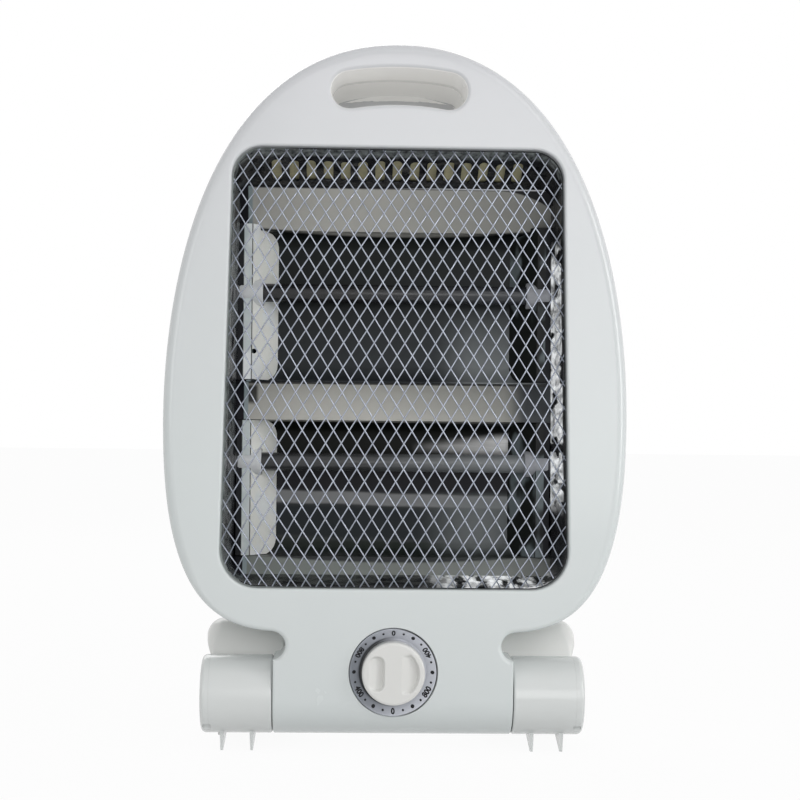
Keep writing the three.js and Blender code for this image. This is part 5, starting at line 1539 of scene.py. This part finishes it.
def ceramic_cap(word, level, side, z):
    groove_in, groove_out = PLATE_HALF - 0.3, PLATE_HALF + SHEET + 0.3
    corners = [
        (CAP_BORE, CAP_INNER, 0.3),
        (CAP_RADIUS, CAP_INNER, 0.7),
        (CAP_RADIUS, groove_in, 0.3),
        (CAP_GROOVE, groove_in, 0.2),
        (CAP_GROOVE, groove_out, 0.2),
        (CAP_RADIUS, groove_out, 0.3),
        (CAP_RADIUS, CAP_OUTER, 0.7),
        (TERMINAL_HOLE, CAP_OUTER, 0.3),
        (TERMINAL_HOLE, TUBE_HALF + 0.3, 0.2),
        (CAP_BORE, TUBE_HALF + 0.3, 0.2),
    ]
    surface = Surface()
    profile = [(r, side * x) for r, x in rounded_profile(corners, 3)]
    turned_x(surface, profile, TUBE_Y, z, 48)
    data = surface.mesh(f"{word}_{level}_fired_cap")
    place(data, "root", "cap_" + word, [f"{word}_{level}_ceramic_cap"])


# The dial and its knob.


def dial():
    surface = Surface()
    corners = [
        (DIAL_RADIUS, -BASE_RADIUS, 0.25),
        (DIAL_RADIUS, DIAL_BACK, 0.2),
        (SHAFT_HOLE, DIAL_BACK, 0.2),
        (SHAFT_HOLE, DIAL_FLOOR, 0.2),
        (DIAL_FLOOR_RADIUS, DIAL_FLOOR, 0.4),
    ]
    turned_y(surface, rounded_profile(corners), 0, DIAL_HEIGHT, 144)
    even_normals(place(surface.mesh("printed_dial"), "root", "dial", ["dial_ring"]))
    for k in range(POSITIONS):
        print_number(k, ("0", "400", "800")[k % 3])
    print_dots()


PRINT_RADIUS = 20.2
PRINT_SIZE = 3.8
PRINT_BOLD = 0.17
PRINT_LIFT = 0.04
POSITIONS = 6
DOTS = ((15, 0.6), (30, 0.98), (45, 0.6))


def cone_point(angle, radius):
    """A point on the dial's cone, a hair in front of it; the angle runs clockwise from the top."""
    share = (radius - DIAL_FLOOR_RADIUS) / (DIAL_RADIUS - DIAL_FLOOR_RADIUS)
    y = DIAL_FLOOR + (-BASE_RADIUS - DIAL_FLOOR) * share - PRINT_LIFT
    return (radius * math.sin(angle), y, DIAL_HEIGHT + radius * math.cos(angle))


def print_number(place_on_dial, text):
    """A number bent round the dial, with its top towards the middle."""
    curve = bpy.data.curves.new("number", "FONT")
    curve.body = text
    curve.size = PRINT_SIZE
    curve.align_x = "CENTER"
    curve.align_y = "CENTER"
    curve.resolution_u = 3
    curve.offset = PRINT_BOLD
    shown = bpy.data.objects.new("number", curve)
    bpy.context.scene.collection.objects.link(shown)
    bpy.context.view_layer.update()
    data = bpy.data.meshes.new_from_object(shown.evaluated_get(bpy.context.evaluated_depsgraph_get()))
    bpy.data.objects.remove(shown)
    middle = math.tau * place_on_dial / POSITIONS
    for vertex in data.vertices:
        angle = middle - vertex.co.x / PRINT_RADIUS
        vertex.co = world(cone_point(angle, PRINT_RADIUS - vertex.co.y))
    data.name = f"dial_number_{place_on_dial}"
    place(data, "root", "ink")


def print_dots():
    surface = Surface()
    for k in range(POSITIONS):
        for offset, radius in DOTS:
            middle = math.tau * k / POSITIONS + math.radians(offset)
            ring = []
            for a in round_turn(14):
                angle = middle + radius * math.cos(a) / PRINT_RADIUS
                ring.append(cone_point(angle, PRINT_RADIUS + radius * math.sin(a)))
            surface.polygon(ring)
    place(surface.mesh("dial_dots"), "root", "ink")


KNOB_RADIUS = 16.2
KNOB_FACE = -26.3
KNOB_BACK = -16.6
KNOB_ROUND = 1.4
KNOB_WALL = 2.2
KNOB_FLOOR = -20.2
KNOB_BORE = 3.3
KNOB_BORE_END = -21.5
SCOOP_HALF_HEIGHT = 9.2
SCOOP_DEPTH = 3.4
LEFT_SCOOP = (-13.2, -4.4)
RIGHT_SCOOP = (4.0, 13.6)
SCOOP_CORNER = 3.9
SCOOP_STEEP = 1.3
SCOOP_RUN = 0.9


def scoop(x, z):
    """How deep the finger scoops are: each falls gently to the right and ends in a wall."""
    if x < 0:
        start, end = LEFT_SCOOP
        half = (end - start) / 2
        dx = abs(x - (start + end) / 2) - half + SCOOP_CORNER
        dz = abs(z) - SCOOP_HALF_HEIGHT + SCOOP_CORNER
        within = SCOOP_CORNER - math.hypot(max(dx, 0), max(dz, 0)) - min(max(dx, dz), 0)
    else:
        start, end = RIGHT_SCOOP
        within = min(end - math.hypot(x, z), (SCOOP_HALF_HEIGHT + 1 - abs(z)) * 0.8)
    slope = min(max((x - start) / (SCOOP_RUN * (end - start)), 0), 1)
    return SCOOP_DEPTH * smooth(within / SCOOP_STEEP) * slope


def knob():
    surface = Surface()
    rings = []
    for radius in spread(0.01, KNOB_RADIUS - KNOB_ROUND, 60):
        rings.append((radius, KNOB_FACE, True))
    for angle in quarter(6)[1:]:
        radius = KNOB_RADIUS - KNOB_ROUND * (1 - math.sin(angle))
        rings.append((radius, KNOB_FACE + KNOB_ROUND * (1 - math.cos(angle)), True))
    rings += [(KNOB_RADIUS, y, False) for y in spread(KNOB_FACE + 2, KNOB_BACK - 0.2, 3)]
    inner = KNOB_RADIUS - KNOB_WALL
    back = [(KNOB_RADIUS - 0.2, KNOB_BACK), (inner, KNOB_BACK), (inner, KNOB_FLOOR)]
    back += [(KNOB_BORE, KNOB_FLOOR), (KNOB_BORE, KNOB_BORE_END), (0.01, KNOB_BORE_END)]
    rings += [(radius, y, False) for radius, y in back]
    rows = []
    for radius, y, scooped in rings:
        row = []
        for x, z in circle(0, 0, radius, 160):
            sunk = scoop(x, z) if scooped else 0
            row.append((x, y + sunk, DIAL_HEIGHT + z))
        rows.append(row)
    surface.solid(rows)
    data = surface.mesh("scooped_knob", weld=0.0005)
    place(data, "knob", "knob", ["knob"], angle=50)


# The feet.

FOOT_INNER = BASE_HALF + 0.38
NOTCH_INNER = 56.9
FOOT_HIDDEN = 50.0
HIDDEN_LOW = 4.0
FOOT_END = 99.5
FOOT_TAPER = 6.0
FOOT_WAIST = 36.0
CAP_START = 95.0
SLEEVE_END = 94.97
CAP_ROUND = 2.6
CAP_INSIDE = 18.0
CAP_FLOOR = 3.0
BASE_CLEAR = BASE_RADIUS + 0.6
FOOT_WALL = 2.2
PADDLE_ROUND = 9.0
INNER_ROUND = 3.0
WALL_FRONT = 16.0
CREST = (30.0, 64.4)
FOOT_SHOULDER = CREST[1] - 7
TAIL_Y = 86.0
TAIL_LIFT = 0.4
ROOT_ANGLE = math.radians(55)
TAIL_LOW = (BASE_RADIUS / 2, AXIS - BASE_RADIUS / 2)
SKIRT_FRONT = 32.2


def foot_side(steps=22):
    """The upper edge of a foot seen from the side, as (y, z, normal y, normal z)."""
    y0, z0 = BASE_RADIUS * math.cos(ROOT_ANGLE), AXIS + BASE_RADIUS * math.sin(ROOT_ANGLE)
    rise, run = CREST[1] - z0, TAIL_Y - CREST[0]
    span = CREST[0] - y0
    climb = [(y0, z0), (y0 + 0.1 * span, z0 + 0.6 * rise), (y0 + 0.45 * span, CREST[1]), CREST]
    fall = [
        CREST,
        (CREST[0] + 0.45 * run, CREST[1]),
        (TAIL_Y - 0.04 * run, CREST[1] * 0.65),
        (TAIL_Y, TAIL_LIFT),
    ]
    made = [bezier(*climb, t) for t in spread(0, 1, steps)]
    return made + [bezier(*fall, t) for t in spread(0, 1, 2 * steps)[1:]]


def foot_low(y):
    """The lower edge of a foot's side wall at a distance behind the hinge axis."""
    if y >= SKIRT_FRONT:
        return TAIL_LIFT
    share = max((y - TAIL_LOW[0]) / (SKIRT_FRONT - TAIL_LOW[0]), 0)
    return TAIL_LOW[1] * (1 - share) + TAIL_LIFT * share


def foot_outer(z):
    """Where a foot's outer wall stands at a height: it leans in below the crest."""
    return FOOT_END - FOOT_TAPER * smooth((FOOT_SHOULDER - z) / (FOOT_SHOULDER - FOOT_WAIST))


def over_base(y):
    """The lowest that a paddle's hidden inner wall reaches: over the base, then behind it."""
    if y >= BASE_CLEAR:
        return HIDDEN_LOW
    return AXIS + math.sqrt(BASE_CLEAR**2 - y * y) + 0.3


def straight(start, end, steps):
    """Points on a straight line in a foot's side view, the first one left out."""
    return [tuple(Vector(start).lerp(Vector(end), t)) for t in spread(0, 1, steps)[1:]]


def paddle_row(share, y, z, ny, nz, inner):
    """One cross-section of a paddle, up its inner wall, over its top and down its outer wall."""
    outer_round = min(PADDLE_ROUND, 1 + 60 * share)
    inner_round = min(INNER_ROUND, 0.5 + 20 * share)
    at_y, at_z = y - ny * inner_round, z - nz * inner_round
    foot_y = max(at_y, WALL_FRONT)
    low = foot_low(foot_y) if inner == FOOT_INNER else max(foot_low(foot_y), over_base(foot_y))
    row = [(inner, v, w) for v, w in straight((at_y, at_z), (foot_y, min(low, at_z)), 4)[::-1]]
    for a in spread(0, math.pi / 2, 6):
        sunk = inner_round * (1 - math.sin(a))
        row.append((inner + inner_round * (1 - math.cos(a)), y - ny * sunk, z - nz * sunk))
    for a in spread(math.pi / 2, 0, 9):
        sunk = outer_round * (1 - math.sin(a))
        at = z - nz * sunk
        row.append((foot_outer(at) - outer_round * (1 - math.cos(a)), y - ny * sunk, at))
    at_y, at_z = y - ny * outer_round, z - nz * outer_round
    foot_y = max(at_y, WALL_FRONT)
    down = straight((at_y, at_z), (foot_y, min(foot_low(foot_y), at_z)), 6)
    return row + [(foot_outer(w), v, w) for v, w in down]


def foot_paddle(side):
    """The arched rear part of a foot: a rounded top and two side walls, open below."""
    surface = Surface()
    edge = foot_side()
    lengths = [0.0]
    for ahead, point in zip(edge[1:], edge):
        lengths.append(lengths[-1] + math.dist(ahead[:2], point[:2]))
    rows = []
    for length, point in zip(lengths, edge):
        clear = point[1] - over_base(min(point[0], BASE_RADIUS))
        inner = FOOT_INNER if clear < 1 else NOTCH_INNER
        if point[0] > BASE_CLEAR + 3.6:
            inner = FOOT_HIDDEN
        row = paddle_row(length / lengths[-1], *point, inner)
        if rows and inner != last:
            rows.append([(inner if x == last else x, y, z) for x, y, z in rows[-1]])
        rows.append(row)
        last = inner
    surface.grid([[(side * x, y, max(z, TAIL_LIFT)) for x, y, z in row] for row in rows])
    return surface


def foot_sleeve(surface, side):
    corners = [
        (STUB_RADIUS + 0.3, FOOT_INNER, 0.4),
        (BASE_RADIUS, FOOT_INNER, 1.2),
        (BASE_RADIUS, SLEEVE_END, 0.04),
        (STUB_RADIUS + 0.3, SLEEVE_END, 0.3),
    ]
    profile = [(r, side * x) for r, x in rounded_profile(corners)]
    turned_x(surface, profile, 0, AXIS, 128)


FIN_CENTRES = (73.0, 88.5)
FIN_TIP = 0.7
FIN_SWELL = 0.9
FIN_RISE = 9.0
FIN_SIDE = ((-8, 0.0), (-5.5, 0.0), (9, 7.4), (78.5, 7.4), (78.5, 20.0), (-8, 20.0))


def foot_fins(surface, side):
    """Two thin fins under the sleeve and the paddle, pointed towards the floor in front."""
    for x in FIN_CENTRES:
        outer, inner = [], []
        for y, z in FIN_SIDE:
            half = FIN_TIP + FIN_SWELL * min(z / FIN_RISE, 1)
            outer.append((side * (x + half), y, z))
            inner.append((side * (x - half), y, z))
        surface.solid([outer, inner])


NOTCH_SPAN = (93.9, 98.2)
NOTCH_DROP = (17.1, 13.9)
NOTCH_DEPTH = (-21.0, -11.4)


def foot_notch(side):
    """A small block that is cut out of a foot's front at its lower outer corner."""
    notch = Surface()
    x0, x1 = (side * x for x in NOTCH_SPAN)
    z0, z1 = (AXIS - drop for drop in NOTCH_DROP)
    corners = [(x0, z0), (x1, z0), (x1, z1), (x0, z1)]
    notch.solid([[(x, y, z) for x, z in corners] for y in NOTCH_DEPTH])
    return notch


def cap_profile():
    """The end cap of a foot: a flat cup with a rounded edge, as (radius, x)."""
    edge = arc(FOOT_END - CAP_ROUND, BASE_RADIUS - CAP_ROUND, CAP_ROUND, quarter(9))
    profile = [(0.01, FOOT_END), *((radius, x) for x, radius in edge)]
    profile += [(BASE_RADIUS, CAP_START + 0.03), (BASE_RADIUS - 0.03, CAP_START)]
    floor = FOOT_END - CAP_FLOOR
    return profile + [(CAP_INSIDE, CAP_START), (CAP_INSIDE, floor), (0.01, floor)]


def foot(side, word):
    body = word + "_foot"
    sleeve = Surface()
    foot_sleeve(sleeve, side)
    piece = place(sleeve.mesh(word + "_sleeve"), body, "foot", [body])
    cut_out(piece, foot_notch(side))
    even_normals(piece)
    paddle = sheet(foot_paddle(side), word + "_paddle", UP, FOOT_WALL, body, "paddle")
    even_normals(paddle)
    fins = Surface()
    foot_fins(fins, side)
    place(fins.mesh(word + "_fins"), body, "foot")
    cap = Surface()
    turned_x(cap, [(r, side * x) for r, x in cap_profile()], 0, AXIS, 128)
    piece = place(cap.mesh(word + "_end_cap"), body, "foot", [word + "_foot_cap"])
    cut_out(piece, foot_notch(side))
    even_normals(piece)


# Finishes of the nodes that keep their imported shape.

KEPT = {
    "black": ("cord_gland", "rotary_switch", "thermal_cutout"),
    "grey": ("tilt_switch_case",),
    "brass": tuple(f"{s}_{h}_terminal" for s in ("left", "right") for h in ("upper", "lower")),
    "white": ("terminal_block", "right_upper_lead", "cutout_lead"),
    "red": ("left_upper_lead", "left_lower_lead"),
}


def dress_kept_nodes():
    named = {node: key for key, nodes in KEPT.items() for node in nodes}
    for name, node in frame["nodes"].items():
        if node.hide_render:
            continue
        finish = MATERIALS[named.get(name, "steel")]
        if not node.material_slots:
            node.data.materials.append(finish)
        for held in node.material_slots:
            held.material = finish


# Camera, floor and light.

CAMERA_DISTANCE = 850.0
CAMERA_HEIGHT = 167.4
CAMERA_TURN = math.radians(-1.7)
CAMERA_ROLL = math.radians(0.62)
FRAME_WIDTH = 800
HORIZON_ROW = 430
AIM_X = 2.1
LENS = 74.4
SENSOR = 36.0

# Each lamp: its name, place and size in metres, and power in watts.
LAMPS = (
    ("key", (0.9, -1.5, 1.35), (0.9, 0.9), 4.5),
    ("front", (0.3, -2.1, 0.45), (0.9, 0.9), 5.5),
    ("left", (-1.15, -1.4, 0.45), (0.7, 0.7), 3),
    ("side", (1.2, -0.6, 0.4), (0.35, 0.9), 4.5),
    ("rear", (-0.4, 1.5, 1.2), (1.0, 0.8), 4),
)
LIT = (0, 0, 0.17)
SKY_ON_OBJECT = 0.56
FLOOR_GLOW = 0.95


def camera():
    data = bpy.data.cameras.new("camera")
    data.lens = LENS
    data.sensor_width = SENSOR
    data.shift_y = (HORIZON_ROW - FRAME_WIDTH / 2) / FRAME_WIDTH
    data.clip_start = 0.05
    data.clip_end = 60
    eye = bpy.data.objects.new("camera", data)
    bpy.context.scene.collection.objects.link(eye)
    x = AIM_X + CAMERA_DISTANCE * math.sin(CAMERA_TURN)
    y = -BASE_RADIUS - CAMERA_DISTANCE * math.cos(CAMERA_TURN)
    eye.location = world((x, y, CAMERA_HEIGHT))
    eye.rotation_mode = "XYZ"
    turn = Matrix.Rotation(CAMERA_TURN, 4, "Z") @ Matrix.Rotation(math.pi / 2, 4, "X")
    eye.rotation_euler = (turn @ Matrix.Rotation(CAMERA_ROLL, 4, "Z")).to_euler()
    bpy.context.scene.camera = eye


def area_light(name, place_at, size, power):
    data = bpy.data.lights.new(name, "AREA")
    data.shape = "RECTANGLE"
    data.size, data.size_y = size
    data.energy = power
    lamp = bpy.data.objects.new(name, data)
    bpy.context.scene.collection.objects.link(lamp)
    lamp.location = place_at
    way = Vector(LIT) - Vector(place_at)
    lamp.rotation_euler = way.to_track_quat("-Z", "Y").to_euler()


def backdrop_share(tree):
    """One for rays that show the background: from the camera, off gloss or through glass."""
    path = tree.nodes.new("ShaderNodeLightPath")
    total = path.outputs["Is Camera Ray"]
    for name in ("Is Glossy Ray", "Is Transmission Ray"):
        most = tree.nodes.new("ShaderNodeMath")
        most.operation = "MAXIMUM"
        tree.links.new(total, most.inputs[0])
        tree.links.new(path.outputs[name], most.inputs[1])
        total = most.outputs[0]
    return total


def studio_world():
    """White behind the object, and dimmer light on it."""
    scene_world = bpy.data.worlds.new("studio")
    bpy.context.scene.world = scene_world
    scene_world.use_nodes = True
    tree = scene_world.node_tree
    back = tree.nodes["Background"]
    back.inputs["Color"].default_value = (1, 1, 1, 1)
    level = tree.nodes.new("ShaderNodeMapRange")
    level.inputs["To Min"].default_value = SKY_ON_OBJECT
    level.inputs["To Max"].default_value = 1.0
    tree.links.new(backdrop_share(tree), level.inputs["Value"])
    tree.links.new(level.outputs["Result"], back.inputs["Strength"])


def studio_floor():
    """A pale floor that keeps a little of the object's shadow where the camera sees it."""
    bpy.ops.mesh.primitive_plane_add(size=24, location=(0, 0, -0.0004))
    floor = bpy.context.object
    floor.name = "studio_floor"
    finish = bpy.data.materials.new("studio_floor")
    finish.use_nodes = True
    tree = finish.node_tree
    shader = tree.nodes["Principled BSDF"]
    shader.inputs["Base Color"].default_value = (0.8, 0.8, 0.8, 1)
    shader.inputs["Roughness"].default_value = 0.9
    glow = tree.nodes.new("ShaderNodeEmission")
    glow.inputs["Color"].default_value = (1, 1, 1, 1)
    mix = tree.nodes.new("ShaderNodeMixShader")
    share = tree.nodes.new("ShaderNodeMath")
    share.operation = "MULTIPLY"
    share.inputs[1].default_value = FLOOR_GLOW
    tree.links.new(backdrop_share(tree), share.inputs[0])
    tree.links.new(share.outputs[0], mix.inputs[0])
    tree.links.new(shader.outputs[0], mix.inputs[1])
    tree.links.new(glow.outputs[0], mix.inputs[2])
    tree.links.new(mix.outputs[0], tree.nodes["Material Output"].inputs["Surface"])
    floor.data.materials.append(finish)


camera()
studio_world()
for lamp in LAMPS:
    area_light(*lamp)
studio_floor()
bpy.context.scene.view_settings.view_transform = "Standard"
front_shell()
back_shell()
base_back()
handle_pocket()
screw_bosses()
grille()
tray()
reflectors()
heating_tubes()
dial_seat()
dial()
knob()
foot(1, "right")
foot(-1, "left")
dress_kept_nodes()
